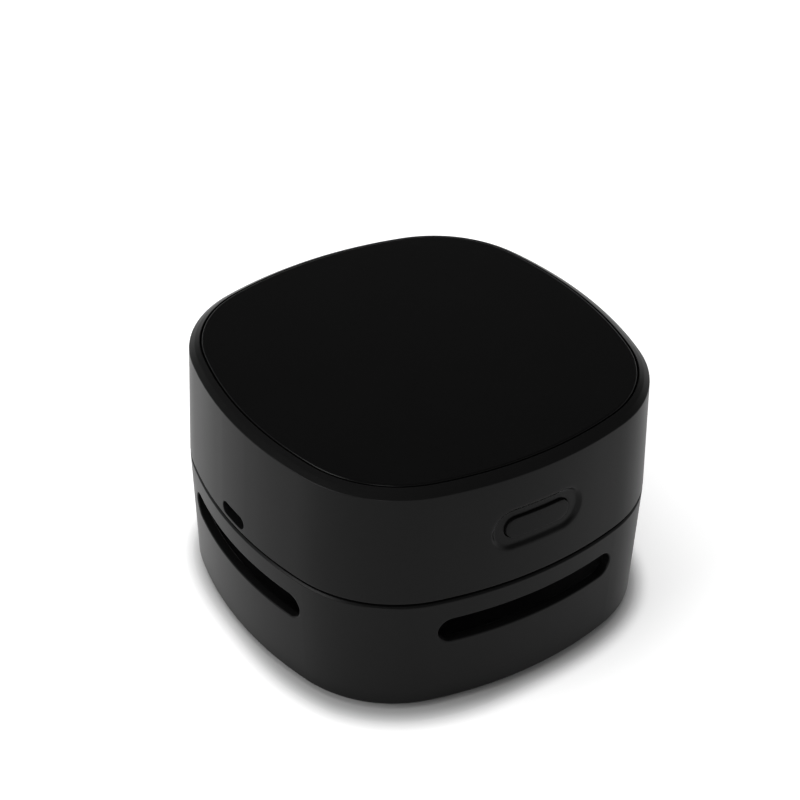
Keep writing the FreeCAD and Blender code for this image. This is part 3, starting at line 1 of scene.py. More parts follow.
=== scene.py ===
"""Desktop mini vacuum cleaner: a rounded-square motor unit that stands on its dust bowl.

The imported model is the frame.  The shells, cover, button, feet, fan, brush, filter mesh and screws are
built here in its place and size, and every other part keeps its own mesh and gets a finish.
Lengths are metres; +Z is up, the front with the button faces -Y and the power inlet faces -X.
"""

import math

import bmesh
import bpy
from bpy.props import FloatProperty, FloatVectorProperty, IntProperty, PointerProperty
from mathutils import Matrix, Vector
from mathutils.geometry import delaunay_2d_cdt


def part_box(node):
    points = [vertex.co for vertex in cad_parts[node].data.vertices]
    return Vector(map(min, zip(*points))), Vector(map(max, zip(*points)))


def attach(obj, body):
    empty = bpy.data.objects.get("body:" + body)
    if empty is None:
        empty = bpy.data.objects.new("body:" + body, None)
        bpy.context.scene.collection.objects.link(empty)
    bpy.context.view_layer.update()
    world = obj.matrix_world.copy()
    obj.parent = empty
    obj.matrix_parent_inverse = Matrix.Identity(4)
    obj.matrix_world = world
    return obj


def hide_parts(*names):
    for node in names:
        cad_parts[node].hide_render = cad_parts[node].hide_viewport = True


bl_info = {
    "name": "Desktop Mini Vacuum Cleaner",
    "version": (1, 0, 0),
    "blender": (4, 5, 0),
    "location": "View3D > Sidebar > Vacuum",
    "description": "Builds a rounded-square desktop vacuum cleaner from its shells, fan, filter and brush",
    "category": "Add Mesh",
}

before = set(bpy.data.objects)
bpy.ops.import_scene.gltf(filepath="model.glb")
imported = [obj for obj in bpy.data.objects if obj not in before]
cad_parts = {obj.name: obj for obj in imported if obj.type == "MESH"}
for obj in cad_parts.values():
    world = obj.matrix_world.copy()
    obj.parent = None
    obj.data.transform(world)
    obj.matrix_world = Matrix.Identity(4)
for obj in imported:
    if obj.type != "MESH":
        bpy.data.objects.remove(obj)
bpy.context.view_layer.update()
SIDES = {"right": 0, "back": 1, "left": 2, "front": 3}

# Lengths that only the meshes need.  Points within WELD of each other count as one, and doubles are
# merged within MERGE.  ASIDE leads to a point that only gives a profile its direction.  A plain side
# has its columns within SIDE_REACH of its middle, the cover within COVER_REACH.  The margins are the
# strips of wall between a hole and the window that its own faces fill.  COLUMN_PITCH is the distance
# between columns elsewhere, and CLEARANCE keeps two faces from lying in one plane.
WELD = 1e-7
MERGE = 20 * WELD
ASIDE = 0.003
COLUMN_PITCH = 0.0016
SIDE_REACH = 0.0196
COVER_REACH = 0.0165
SLOT_MARGIN = 0.00045
HOLE_MARGIN = 0.0006
PORT_MARGIN = 0.00028
CLEARANCE = 0.00002


# ---------------------------------------------------------------------------------------------------
# sizes and colours
# ---------------------------------------------------------------------------------------------------

def low(node):
    """Lowest level of a node of the frame."""
    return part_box(node)[0].z


def high(node):
    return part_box(node)[1].z


def high_x(node):
    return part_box(node)[1].x


def length(name, description, default):
    return FloatProperty(name=name, description=description, default=default, min=0.0, unit="LENGTH",
                         precision=5)


def angle(name, description, degrees):
    return FloatProperty(name=name, description=description, default=math.radians(degrees),
                         subtype="ANGLE")


def colour(name, description, default):
    return FloatVectorProperty(name=name, description=description, default=default, size=3, min=0.0,
                               max=1.0, subtype="COLOR")


class VacuumShells(bpy.types.PropertyGroup):
    """Sizes of the two shells and the cover."""

    half_width: length("Half width", "Middle to a side at the parting line", high_x("dust_bowl"))
    side_radius: length("Side radius", "Radius of the bowed sides", 0.0813)
    corner_radius: length("Corner radius", "Radius of the corners", 0.0259)
    wall: length("Wall", "Wall of both shells", 0.002)
    upper_draft: angle("Upper draft", "Lean of the upper shell's walls", 1.75)
    lower_draft: angle("Lower draft", "Lean of the bowl's walls", 1.97)
    bowl_bottom: length("Bowl bottom", "Level of the bowl's lower face", low("dust_bowl"))
    bowl_top: length("Bowl top", "Level of the bowl's upper edge", high("dust_bowl"))
    shell_bottom: length("Shell bottom", "Level of the upper shell's lower edge", 0.02765)
    shell_top: length("Shell top", "Level of the upper shell's top", high("upper_housing"))
    rim_width: length("Rim width", "Slanted rim round the cover", 0.0022)
    rim_height: length("Rim height", "Drop of the slanted rim", 0.00162)
    base_radius: length("Base radius", "Rounding of the bowl's lower edge and of its floor", 0.001)
    lip_bevel: length("Lip bevel", "Bevel of the bowl's upper edge", 0.0004)
    shadow_gap: length("Shadow gap", "Groove under the upper shell's lower edge", 0.00025)
    cover_seam: length("Cover seam", "Gap round the cover", 0.00033)
    cover_edge: length("Cover edge", "Rounding of the cover's edge", 0.0004)
    cover_step: length("Cover step", "Cover above the rim's inner edge", 0.00015)
    cover_thickness: length("Cover thickness", "Thickness of the cover", 0.002)
    tray_thickness: length("Tray thickness", "Plate below the cover and walls of the bays", 0.0012)
    rim_shoulder: length("Rim shoulder", "Rounding along the middle of the slanted rim", 0.002)
    groove_inset: length("Groove inset", "Depth of the groove under the upper shell", 0.0008)
    shell_edge: length("Shell edge", "Rounding of the upper shell's lower edge", 0.00014)
    inner_edge: length("Inner edge", "Rounding of the upper shell's inner lower edge", 0.0002)
    ledge_height: length("Ledge height", "Inner ledge above the bowl's lower face", 0.01)
    ledge_width: length("Ledge width", "Width of the bowl's inner ledge", 0.0018)
    ledge_corner: length("Ledge corner", "Rounding of the corner over the ledge", 0.0004)
    crease: length("Crease", "Rounding where a wall changes direction", 0.0003)
    edge_break: length("Edge break", "Smallest rounding of a moulded edge", 0.0001)
    overlap: length("Overlap", "How far posts and ribs run into the plate over them", 0.0003)


class VacuumOpenings(bpy.types.PropertyGroup):
    """Sizes of the slots, the inlet, the recess and the button."""

    slot_length: length("Slot length", "Length of an exhaust slot", 0.0406)
    slot_width: length("Slot width", "Width of an exhaust slot", 0.0057)
    slot_level: length("Slot level", "Middle of the exhaust slots", 0.0194)
    port_length: length("Port length", "Length of the power inlet", 0.0081)
    port_width: length("Port width", "Width of the power inlet", 0.00285)
    port_level: length("Port level", "Middle of the power inlet", 0.0301)
    recess_length: length("Recess length", "Length of the button's recess", 0.021)
    recess_width: length("Recess width", "Width of the button's recess", 0.0097)
    recess_depth: length("Recess depth", "Depth of the recess", 0.0007)
    recess_softness: length("Recess softness", "Width of the recess's rounded slope", 0.00125)
    button_length: length("Button length", "Length of the button", 0.0144)
    button_width: length("Button width", "Width of the button", 0.0045)
    button_proud: length("Button proud", "Button above the floor of its recess", 0.0005)
    button_gap: length("Button gap", "Gap round the button", 0.00018)
    button_level: length("Button level", "Middle of the button", 0.04006)
    button_edge: length("Button edge", "Rounding of the button's face", 0.00018)
    slot_edge: length("Slot edge", "Rounding of an exhaust slot's edges", 0.00035)
    port_edge: length("Port edge", "Rounding of the power inlet's outer edge", 0.00012)
    port_inner_edge: length("Port inner edge", "Rounding of the power inlet's inner edge", 0.0002)
    recess_back: length("Recess back", "Middle to the flat back of the recess", 0.03912)
    flange_front: length("Flange front", "Middle to the front of the button's flange", 0.03894)
    flange_width: length("Flange width", "Flange round the button", 0.001)
    inlet_radius: length("Inlet radius", "Radius of the suction inlet", 0.011)
    inlet_edge: length("Inlet edge", "Rounding of the inlet's mouth", 0.0007)
    inlet_wall: length("Inlet wall", "Wall of the chimney over the inlet", 0.0012)
    inlet_height: length("Inlet height", "Top of the chimney above the bowl's lower face", 0.007)
    ring_radius: length("Ring radius", "Radius of the raised ring round the chimney", 0.02)
    ring_height: length("Ring height", "Raised ring above the bowl's lower face", 0.0042)
    ring_edge: length("Ring edge", "Rounding of the raised ring's edge", 0.0006)
    ring_fillet: length("Ring fillet", "Rounding between the ring and the chimney", 0.0005)


class VacuumFittings(bpy.types.PropertyGroup):
    """Sizes of the cell bays, posts, ribs, brush channels and feet."""

    bay_place: length("Bay place", "Middle to the axis of a cell", 0.017)
    bay_level: length("Bay level", "Level of the cells' axes", 0.0439)
    bay_radius: length("Bay radius", "Inner radius of a cell bay", 0.0075)
    bay_length: length("Bay length", "Inner length of a cell bay", 0.0552)
    post_place: length("Post place", "Middle to a post of the deck, along the diagonal", 0.03939)
    post_radius: length("Post radius", "Radius of a post of the deck", 0.003)
    post_drop: length("Post drop", "Top of the deck's screws to the foot of a post", 0.0067)
    board_post_place: length("Board post place", "Middle to a post of the switch board", 0.0111)
    board_post_radius: length("Board post radius", "Radius of a post of the switch board", 0.002)
    board_post_length: length("Board post length", "Length of a post of the switch board", 0.0015)
    rib_place: length("Rib place", "Middle to a rib of the cover, along the cell", 0.0138)
    rib_length: length("Rib length", "Length of a rib of the cover", 0.008)
    rib_width: length("Rib width", "Thickness of a rib of the cover", 0.0012)
    channel_inner: length("Channel inner radius", "Inner radius of the brush channels", 0.0151)
    channel_outer: length("Channel outer radius", "Outer radius of the brush channels", 0.0189)
    channel_angle: angle("Channel angle", "Half the angle of a brush channel", 36.0)
    channel_depth: length("Channel depth", "Depth of the brush channels", 0.003)
    foot_radius: length("Foot radius", "Radius of a foot", 0.004)
    foot_edge: length("Foot edge", "Rounding of a foot's lower edge", 0.0004)
    foot_gap: length("Foot gap", "Gap between a foot and its seat", 0.0001)
    foot_seat: length("Foot seat", "Depth of a foot's seat", 0.0006)
    dimple_radius: length("Dimple radius", "Radius of the dimple in a foot", 0.0016)
    dimple_slope: length("Dimple slope", "Width of the dimple's slope", 0.0004)
    dimple_depth: length("Dimple depth", "Depth of the dimple in a foot", 0.00015)


class VacuumInside(bpy.types.PropertyGroup):
    """Sizes of the fan, brush, filter and screws."""

    blade_count: IntProperty(name="Blades", description="Blades of the fan", default=10, min=3, max=24)
    blade_start: length("Blade start", "Radius at which the blades begin", 0.0085)
    blade_curve: length("Blade curve", "Radius of a blade's curve", 0.018)
    blade_sweep: angle("Blade sweep", "Turn from a blade's start to its tip", 40.0)
    blade_thickness: length("Blade thickness", "Thickness of a blade", 0.0008)
    plate_thickness: length("Plate thickness", "Plate over the blades", 0.001)
    hub_radius: length("Hub radius", "Radius of the fan's hub", 0.0035)
    hub_tip: length("Hub tip", "Radius of the hub's lower end", 0.0023)
    hub_taper: length("Hub taper", "Height of the hub's tapered end", 0.0008)
    cone_radius: length("Cone radius", "Radius of the thicker middle of the plate", 0.0141)
    cone_drop: length("Cone drop", "Thicker middle below the rest of the plate", 0.00025)
    brush_radius: length("Brush radius", "Radius of the first row of bristles", 0.01629)
    brush_width: length("Brush width", "First to last row of bristles", 0.00142)
    brush_angle: angle("Brush angle", "Angle that one strip of bristles takes", 67.0)
    bristle_rows: IntProperty(name="Bristle rows", description="Rows of bristles in a strip", default=5,
                              min=1, max=12)
    bristles_per_row: IntProperty(name="Bristles per row", description="Bristles along a strip",
                                  default=44, min=4, max=120)
    bristle_radius: length("Bristle radius", "Radius of one bristle", 0.00009)
    mesh_pitch: length("Mesh pitch", "Distance between the wires of the filter", 0.00095)
    wire_radius: length("Wire radius", "Radius of a wire of the filter", 0.00014)
    wire_wave: length("Wire wave", "Rise and fall of a wire", 0.00009)
    weave_margin: length("Weave margin", "Wires end this far inside the mesh's edge", 0.0004)
    border_width: length("Border width", "Flat ring round the filter mesh", 0.0012)
    border_inset: length("Border inset", "Middle of the flat ring inside the mesh's edge", 0.00065)
    head_radius: length("Head radius", "Radius of a screw's head", 0.0018)
    head_height: length("Head height", "Height of a screw's head", 0.0012)
    shank_radius: length("Shank radius", "Radius of a screw's shank", 0.00085)
    cap_margin: length("Cap margin", "Sleeve folded over a cell's end", 0.0012)


class VacuumColours(bpy.types.PropertyGroup):
    """Colours of the moulded, rubber and metal parts."""

    shell: colour("Shells", "Satin black shells", (0.0045, 0.0045, 0.0045))
    cover: colour("Cover", "Smooth black cover", (0.0025, 0.0025, 0.0025))
    inner: colour("Inner parts", "Deck, guard and filter frame", (0.01, 0.01, 0.0105))
    fan: colour("Fan", "Natural moulded fan", (0.62, 0.63, 0.65))
    rubber: colour("Rubber", "Feet and seal", (0.018, 0.018, 0.018))
    bristle: colour("Bristles", "Nylon bristles", (0.05, 0.05, 0.055))
    cloth: colour("Filter mesh", "Woven filter mesh", (0.62, 0.64, 0.64))
    steel: colour("Steel", "Plated steel", (0.6, 0.6, 0.61))
    bronze: colour("Bronze", "Bush and terminals", (0.66, 0.42, 0.2))
    sleeve: colour("Cell sleeve", "Shrink sleeve of the cells", (0.02, 0.08, 0.06))
    laminate: colour("Circuit boards", "Solder mask", (0.01, 0.09, 0.035))
    lead: colour("Leads", "Insulation of the leads", (0.35, 0.012, 0.01))
    stage: colour("Stage", "Floor and backdrop", (0.97, 0.97, 0.97))


class VacuumView(bpy.types.PropertyGroup):
    """Place and lens of the camera."""

    lens: FloatProperty(name="Lens", description="Focal length in millimetres", default=95.322, min=1.0)
    turn: angle("Turn", "Camera turned about the upright axis, from the front", -33.5491)
    lift: angle("Lift", "Camera raised above the floor", 36.1152)
    roll: angle("Roll", "Camera rolled about its own axis", 1.2108)
    distance: length("Distance", "Camera to the point that it looks at", 0.43282)
    target: FloatVectorProperty(name="Target", description="Point that the camera looks at", size=3,
                                default=(0.00109, 0.00761, 0.03652), subtype="TRANSLATION",
                                unit="LENGTH", precision=5)


# ---------------------------------------------------------------------------------------------------
# node trees
# ---------------------------------------------------------------------------------------------------

class Value:
    """Socket on which Python arithmetic adds Math nodes."""

    def __init__(self, graph, socket):
        self.graph = graph
        self.socket = socket

    def outputs(self):
        """Every output of the same node."""
        return [Value(self.graph, socket) for socket in self.socket.node.outputs]

    def math(self, operation, *values):
        return self.graph.node("ShaderNodeMath", {"operation": operation}, dict(enumerate(values)))

    def __add__(self, other):
        return self.math("ADD", self, other)

    def __radd__(self, other):
        return self.math("ADD", other, self)

    def __sub__(self, other):
        return self.math("SUBTRACT", self, other)

    def __rsub__(self, other):
        return self.math("SUBTRACT", other, self)

    def __mul__(self, other):
        return self.math("MULTIPLY", self, other)

    def __rmul__(self, other):
        return self.math("MULTIPLY", other, self)

    def __truediv__(self, other):
        return self.math("DIVIDE", self, other)

    def __rtruediv__(self, other):
        return self.math("DIVIDE", other, self)

    def __pow__(self, other):
        return self.math("POWER", self, other)

    def __mod__(self, other):
        return self.math("MODULO", self, other)

    def __abs__(self):
        return self.math("ABSOLUTE", self)

    def __gt__(self, other):
        return self.math("GREATER_THAN", self, other)

    def __lt__(self, other):
        return self.math("LESS_THAN", self, other)

    def sine(self):
        return self.math("SINE", self)

    def cosine(self):
        return self.math("COSINE", self)

    def floor(self):
        return self.math("FLOOR", self)

    def clamped(self):
        """Held between 0 and 1."""
        return self.graph.node("ShaderNodeClamp", {}, {0: self})

    def ramp(self, start, end):
        """Smooth step that is 0 at start and 1 at end."""
        return self.graph.node("ShaderNodeMapRange", {"interpolation_type": "SMOOTHSTEP"},
                               {"Value": self, "From Min": start, "From Max": end})


class Graph:
    """Adds nodes to one tree."""

    def __init__(self, tree):
        self.tree = tree

    def node(self, kind, settings=None, sockets=None, output=0):
        """New node of a type: its settings are set first, then its sockets' values or links."""
        made = self.tree.nodes.new(kind)
        for name, value in (settings or {}).items():
            setattr(made, name, value)
        for key, value in (sockets or {}).items():
            if isinstance(value, Value):
                self.tree.links.new(value.socket, made.inputs[key])
            else:
                made.inputs[key].default_value = value
        return Value(self, made.outputs[output]) if made.outputs else made

    def position(self):
        return self.node("ShaderNodeTexCoord", output="Object")

    def place(self, x, y, z):
        return self.node("ShaderNodeCombineXYZ", {}, {0: x, 1: y, 2: z})

    def split(self, where):
        """The three parts of a vector."""
        return self.node("ShaderNodeSeparateXYZ", {}, {0: where}).outputs()

    def stretched(self, where, scale):
        """Coordinates scaled along each axis, for marks that run along one of them."""
        return self.node("ShaderNodeMapping", {}, {0: where, "Scale": scale})

    def rays(self):
        """The kinds of ray, under their names."""
        path = self.node("ShaderNodeLightPath")
        return {output.socket.name: output for output in path.outputs()}

    def noise(self, where, scale, detail=3.0, roughness=0.5):
        return self.node("ShaderNodeTexNoise", {},
                         {"Vector": where, "Scale": scale, "Detail": detail, "Roughness": roughness})

    def mix(self, factor, first, second):
        """Colour between two colours."""
        sockets = {"Factor": factor, 6: first, 7: second}
        return self.node("ShaderNodeMix", {"data_type": "RGBA"}, sockets, output=2)

    def bump(self, height, distance, strength=1.0):
        return self.node("ShaderNodeBump", {},
                         {"Strength": strength, "Distance": distance, "Height": height})


def tint(rgb, amount=1.0):
    """Colour with alpha, made lighter or darker by an amount."""
    return tuple(min(channel * amount, 1.0) for channel in rgb) + (1.0,)


def new_material(name, **constants):
    """Material with one surface shader; constants go straight on its sockets."""
    material = bpy.data.materials.new(name + " finish")
    material.use_nodes = True
    graph = Graph(material.node_tree)
    shader = material.node_tree.nodes["Principled BSDF"]
    for key, value in constants.items():
        shader.inputs[key.replace("_", " ")].default_value = value
    return material, graph, shader


def feed(graph, shader, **values):
    """Link values to the surface shader's sockets."""
    for key, value in values.items():
        graph.tree.links.new(value.socket, shader.inputs[key.replace("_", " ")])


def moulded(name, rgb, roughness, grain=9000.0, depth=0.000004, specular=0.5, spread=0.05, mottle=0.12,
            scuff=None, scuff_height=0.0016):
    """Moulded plastic: fine grain, uneven gloss and, about one level, faint handling scuffs."""
    material, graph, shader = new_material(name, Specular_IOR_Level=specular)
    where = graph.position()
    broad = graph.noise(where, 55.0, 4.0)
    fine = graph.noise(where, grain, 2.0)
    wisps = graph.noise(graph.stretched(where, (1.0, 1.0, 0.3)), 420.0, 6.0, 0.7)
    gloss = roughness + spread * (broad - 0.5) + 0.02 * (wisps - 0.5)
    shade = (broad * mottle + fine * 0.1).clamped()
    if scuff:
        level = graph.split(where)[2]
        edge = 1 - abs(level - scuff).ramp(0.0, scuff_height)
        worn = (edge * wisps.ramp(0.52, 0.74)).clamped()
        gloss = gloss + 0.06 * worn
        shade = (shade + 0.1 * worn).clamped()
    feed(graph, shader, Base_Color=graph.mix(shade, tint(rgb), tint(rgb, 2.4)), Roughness=gloss,
         Normal=graph.bump(fine, depth))
    return material


def soft_rubber(name, rgb):
    material, graph, shader = new_material(name, Specular_IOR_Level=0.3)
    where = graph.position()
    pores = graph.noise(where, 5200.0, 3.0)
    dust = graph.noise(where, 160.0, 6.0, 0.65).ramp(0.5, 0.8)
    feed(graph, shader, Base_Color=graph.mix(dust, tint(rgb), tint(rgb, 2.5)),
         Roughness=0.72 + 0.15 * dust, Normal=graph.bump(pores, 0.00001))
    return material


def worked_metal(name, rgb, roughness=0.28, along=(1.0, 1.0, 0.04), scale=3500.0, tarnish=0.25):
    """Metal with tooling marks along one direction and a little tarnish."""
    material, graph, shader = new_material(name, Metallic=1.0)
    where = graph.position()
    marks = graph.noise(graph.stretched(where, along), scale, 3.0)
    stain = graph.noise(where, 240.0, 5.0).ramp(0.45, 0.75)
    feed(graph, shader, Base_Color=graph.mix(stain * tarnish, tint(rgb), tint(rgb, 0.45)),
         Roughness=roughness + 0.12 * (marks - 0.5) + 0.15 * stain * tarnish,
         Normal=graph.bump(marks, 0.000004))
    return material


def stacked_steel(name, rgb, sheet=0.0005):
    """Core of stamped sheets laid on each other."""
    material, graph, shader = new_material(name, Metallic=0.9)
    where = graph.position()
    level = graph.split(where)[2]
    sheets = (level * (2 * math.pi / sheet)).sine().ramp(-0.4, 0.4)
    stain = graph.noise(where, 900.0, 4.0)
    feed(graph, shader, Base_Color=graph.mix(sheets, tint(rgb, 0.35), tint(rgb)),
         Roughness=0.38 + 0.2 * stain, Normal=graph.bump(sheets, 0.00003))
    return material


def segmented_copper(name, rgb, bars=10):
    """Commutator: copper bars with dark gaps, and fine rings round it that vary its gloss."""
    material, graph, shader = new_material(name, Metallic=1.0)
    where = graph.position()
    x, y, level = graph.split(where)
    turn = graph.node("ShaderNodeMath", {"operation": "ARCTAN2"}, {0: y, 1: x})
    gap = (turn * bars).sine().ramp(0.9, 0.97)
    rings = graph.noise(graph.place(0.0, 0.0, level), 9000.0)
    feed(graph, shader, Base_Color=graph.mix(gap, tint(rgb), (0.02, 0.015, 0.01, 1.0)),
         Roughness=0.2 + 0.2 * rings + 0.3 * gap, Normal=graph.bump(rings - gap, 0.00002))
    return material


def shrink_sleeve(name, rgb, axis, level, radius):
    """Plain glossy sleeve, folded over the ends, that leaves the cells' bare metal caps."""
    material, graph, shader = new_material(name)
    where = graph.position()
    x, _, z = graph.split(where)
    bare = ((abs(x) - axis) ** 2 + (z - level) ** 2) < radius ** 2
    wrinkles = graph.noise(graph.stretched(where, (1.0, 0.2, 1.0)), 520.0, 5.0)
    feed(graph, shader, Base_Color=graph.mix(bare, tint(rgb), (0.55, 0.54, 0.52, 1.0)),
         Metallic=bare, Roughness=0.22 + 0.12 * wrinkles, Normal=graph.bump(wrinkles, 0.00003, 0.5))
    return material


def circuit_laminate(name, rgb, track=0.0016, grain=9000.0):
    """Solder mask over faint copper tracks, with a woven glass grain."""
    material, graph, shader = new_material(name, Coat_Weight=0.2, Coat_Roughness=0.2)
    where = graph.position()
    x, y, z = graph.split(where)
    lane = 2 * math.pi / track
    tracks = ((x * lane).sine() * (y * lane + z * lane).sine()).ramp(0.35, 0.5)
    weave = ((x * grain).sine() + (y * grain + z * grain).sine()) * 0.25 + 0.5
    feed(graph, shader, Base_Color=graph.mix(tracks * 0.55, tint(rgb), tint(rgb, 2.2)),
         Roughness=0.32 + 0.1 * weave, Normal=graph.bump(tracks + weave * 0.2, 0.00002))
    return material


def fibre(name, rgb, roughness=0.45):
    """Nylon strands, each a little lighter or darker than the next."""
    material, graph, shader = new_material(name, Specular_IOR_Level=0.4)
    where = graph.position()
    strands = graph.noise(graph.stretched(where, (1.0, 1.0, 0.1)), 2600.0, 2.0)
    feed(graph, shader, Base_Color=graph.mix(strands, tint(rgb, 0.5), tint(rgb, 1.6)),
         Roughness=roughness + 0.2 * (strands - 0.5), Normal=graph.bump(strands, 0.00002))
    return material


# ---------------------------------------------------------------------------------------------------
# mesh code
# ---------------------------------------------------------------------------------------------------

class Outline:
    """The body's rounded square as columns of points: four bowed sides and four tighter corners.

    An inset makes the sides shorter, so their columns move together to stay within used_side of them.
    """

    used_side = 0.985

    def __init__(self, shells, reaches, corner_steps=22):
        """reaches gives, for each side, the column positions measured along the side from its middle."""
        self.side_radius = shells.side_radius
        self.corner_radius = shells.corner_radius
        self.back_off = shells.side_radius - shells.half_width
        inner = shells.side_radius - shells.corner_radius
        self.offset = (math.sqrt(2 * inner ** 2 - self.back_off ** 2) - self.back_off) / 2
        self.half_angle = math.atan2(self.offset, self.offset + self.back_off)
        self.edges = [max(reach) for reach in reaches]
        self.columns = []
        for side in range(4):
            inside = sorted(reaches[side])
            edge = inside[-1]
            steps = max(2, round((self.tangent(self.side_radius) - edge) / COLUMN_PITCH))
            outer = [(i + 1) / steps for i in range(steps)]
            self.columns += [(side, "tail", (-edge, part)) for part in reversed(outer)]
            self.columns += [(side, "side", at) for at in inside]
            self.columns += [(side, "tail", (edge, part)) for part in outer]
            sweep = math.pi / 2 - 2 * self.half_angle
            self.columns += [(side, "corner", self.half_angle + sweep * i / corner_steps)
                             for i in range(1, corner_steps)]

    def point(self, column, inset, level):
        """Point of a column on the outline moved in by an inset."""
        side, kind, value = column
        if kind == "corner":
            radius = self.corner_radius - inset
            out = self.offset + radius * math.cos(value)
            along = self.offset + radius * math.sin(value)
        else:
            radius = self.side_radius - inset
            room = min(1.0, self.used_side * self.tangent(radius) / self.edges[side])
            if kind == "tail":
                edge, part = value
                end = math.copysign(self.tangent(radius), edge)
                along = edge * room + (end - edge * room) * part
            else:
                along = value * room
            out = math.sqrt(radius ** 2 - along ** 2) - self.back_off
        return turned(side, out, along, level)

    def tangent(self, radius):
        """Where a side of a radius ends and its corner begins."""
        return radius * math.sin(self.half_angle)

    def ring(self, inset, level):
        return [self.point(column, inset, level) for column in self.columns]

    def window_columns(self, side, reach):
        """Numbers of a side's columns that lie within a reach of its middle."""
        return [i for i, (place, kind, value) in enumerate(self.columns)
                if place == side and kind == "side" and abs(value) < reach + WELD]


def turned(side, out, along, level):
    """Point given by its distance out of a side and along it."""
    turn = side * math.pi / 2
    return (out * math.cos(turn) - along * math.sin(turn), out * math.sin(turn) + along * math.cos(turn),
            level)


def spaced(start, end, steps):
    return [start + (end - start) * i / steps for i in range(steps + 1)]


def quarter(steps):
    """Angles from zero to a right angle."""
    return spaced(0.0, math.pi / 2, steps)


def arc(middle, level, radius, start, end, steps):
    """Profile points along an arc between two directions in degrees."""
    turns = [math.radians(degrees) for degrees in spaced(start, end, steps)]
    return [(middle + radius * math.cos(turn), level + radius * math.sin(turn)) for turn in turns]


def rounded(*corners, step_angle=math.radians(15)):
    """Profile of (inset, level) points with its corners rounded; a corner is (inset, level, radius)."""
    points = []
    for i, (inset, level, radius) in enumerate(corners):
        if not radius:
            points.append((inset, level))
            continue
        here = Vector((inset, level))
        back = (Vector(corners[i - 1][:2]) - here).normalized()
        ahead = (Vector(corners[i + 1][:2]) - here).normalized()
        half = back.angle(ahead) / 2
        centre = here + (back + ahead).normalized() * radius / math.sin(half)
        first = here + back * radius / math.tan(half) - centre
        last = here + ahead * radius / math.tan(half) - centre
        turn = first.angle_signed(last)
        steps = max(2, round(abs(turn) / step_angle))
        for step in range(steps + 1):
            spoke = first.copy()
            spoke.rotate(Matrix.Rotation(-turn * step / steps, 2))
            points.append(tuple(centre + spoke))
    return points


def circle(radius, level, steps, centre=(0.0, 0.0)):
    return [(centre[0] + radius * math.cos(2 * math.pi * i / steps),
             centre[1] + radius * math.sin(2 * math.pi * i / steps), level) for i in range(steps)]


class Skin:
    """Collects the points and faces of one mesh."""

    fill_scale = 1000.0  # flat regions are filled in millimetres, where rounding matters less

    def __init__(self):
        self.points = []
        self.faces = []

    def add(self, points):
        """Add points and give back their numbers."""
        start = len(self.points)
        self.points += points
        return list(range(start, len(self.points)))

    def strip(self, first, second, closed=True):
        """Four-sided faces between two rows of equal length."""
        count = len(first)
        for i in range(count if closed else count - 1):
            j = (i + 1) % count
            self.faces.append((first[i], first[j], second[j], second[i]))

    def strips(self, rows, closed=True):
        for first, second in zip(rows, rows[1:]):
            self.strip(first, second, closed)

    def fill(self, loops):
        """Fill a level region between closed rows: the outer edge first, then its holes."""
        numbers = [i for loop in loops for i in loop]
        flat = [Vector(self.points[i][:2]) * self.fill_scale for i in numbers]
        edges = []
        start = 0
        for loop in loops:
            count = len(loop)
            edges += [(start + i, start + (i + 1) % count) for i in range(count)]
            start += count
        found = delaunay_2d_cdt(flat, edges, [], 0, 1e-6)
        origins = found[3]
        for face in found[2]:
            middle = sum((found[0][i] for i in face), Vector((0.0, 0.0))) / len(face)
            crossed = 0
            for first, last in edges:
                (x0, y0), (x1, y1) = flat[first], flat[last]
                if (y0 > middle.y) != (y1 > middle.y):
                    crossed += x0 + (middle.y - y0) * (x1 - x0) / (y1 - y0) > middle.x
            if crossed % 2:
                self.faces.append(tuple(numbers[origins[i][0]] for i in face))

    def turned_solid(self, profile, centre=(0.0, 0.0), steps=40, lying=False):
        """Closed solid turned round an upright axis, or one along Y; the profile's ends lie on the axis."""
        start = len(self.points)
        rings = [self.add(circle(radius, level, steps, centre)) for radius, level in profile[1:-1]]
        self.strips(rings)
        for ring, (_, level) in ((rings[0], profile[0]), (rings[-1], profile[-1])):
            tip = self.add([(centre[0], centre[1], level)])[0]
            self.faces += [(ring[i], ring[(i + 1) % steps], tip) for i in range(steps)]
        if lying:
            self.points[start:] = [(x, z, y) for x, y, z in self.points[start:]]

    def block(self, lowest, highest):
        """Plain closed block, for ribs and tabs."""
        (x0, y0, z0), (x1, y1, z1) = lowest, highest
        low_row = self.add([(x0, y0, z0), (x1, y0, z0), (x1, y1, z0), (x0, y1, z0)])
        high_row = self.add([(x0, y0, z1), (x1, y0, z1), (x1, y1, z1), (x0, y1, z1)])
        self.strip(low_row, high_row)
        self.faces += [tuple(low_row), tuple(high_row)]

    def mesh(self, name, merge=True):
        """Mesh with its faces pointing outwards, its doubles merged if asked."""
        mesh = bpy.data.meshes.new(name)
        mesh.from_pydata(self.points, [], self.faces)
        work = bmesh.new()
        work.from_mesh(mesh)
        if merge:
            bmesh.ops.remove_doubles(work, verts=work.verts, dist=MERGE)
            bmesh.ops.dissolve_degenerate(work, edges=work.edges, dist=WELD)
        bmesh.ops.recalc_face_normals(work, faces=work.faces)
        work.to_mesh(mesh)
        work.free()
        return mesh

    def piece(self, name, finish):
        """Finished object of the mesh."""
        return finished(name, self.mesh(name), finish)


def linked(name, data):
    """New object in the scene."""
    made = bpy.data.objects.new(name, data)
    bpy.context.scene.collection.objects.link(made)
    return made


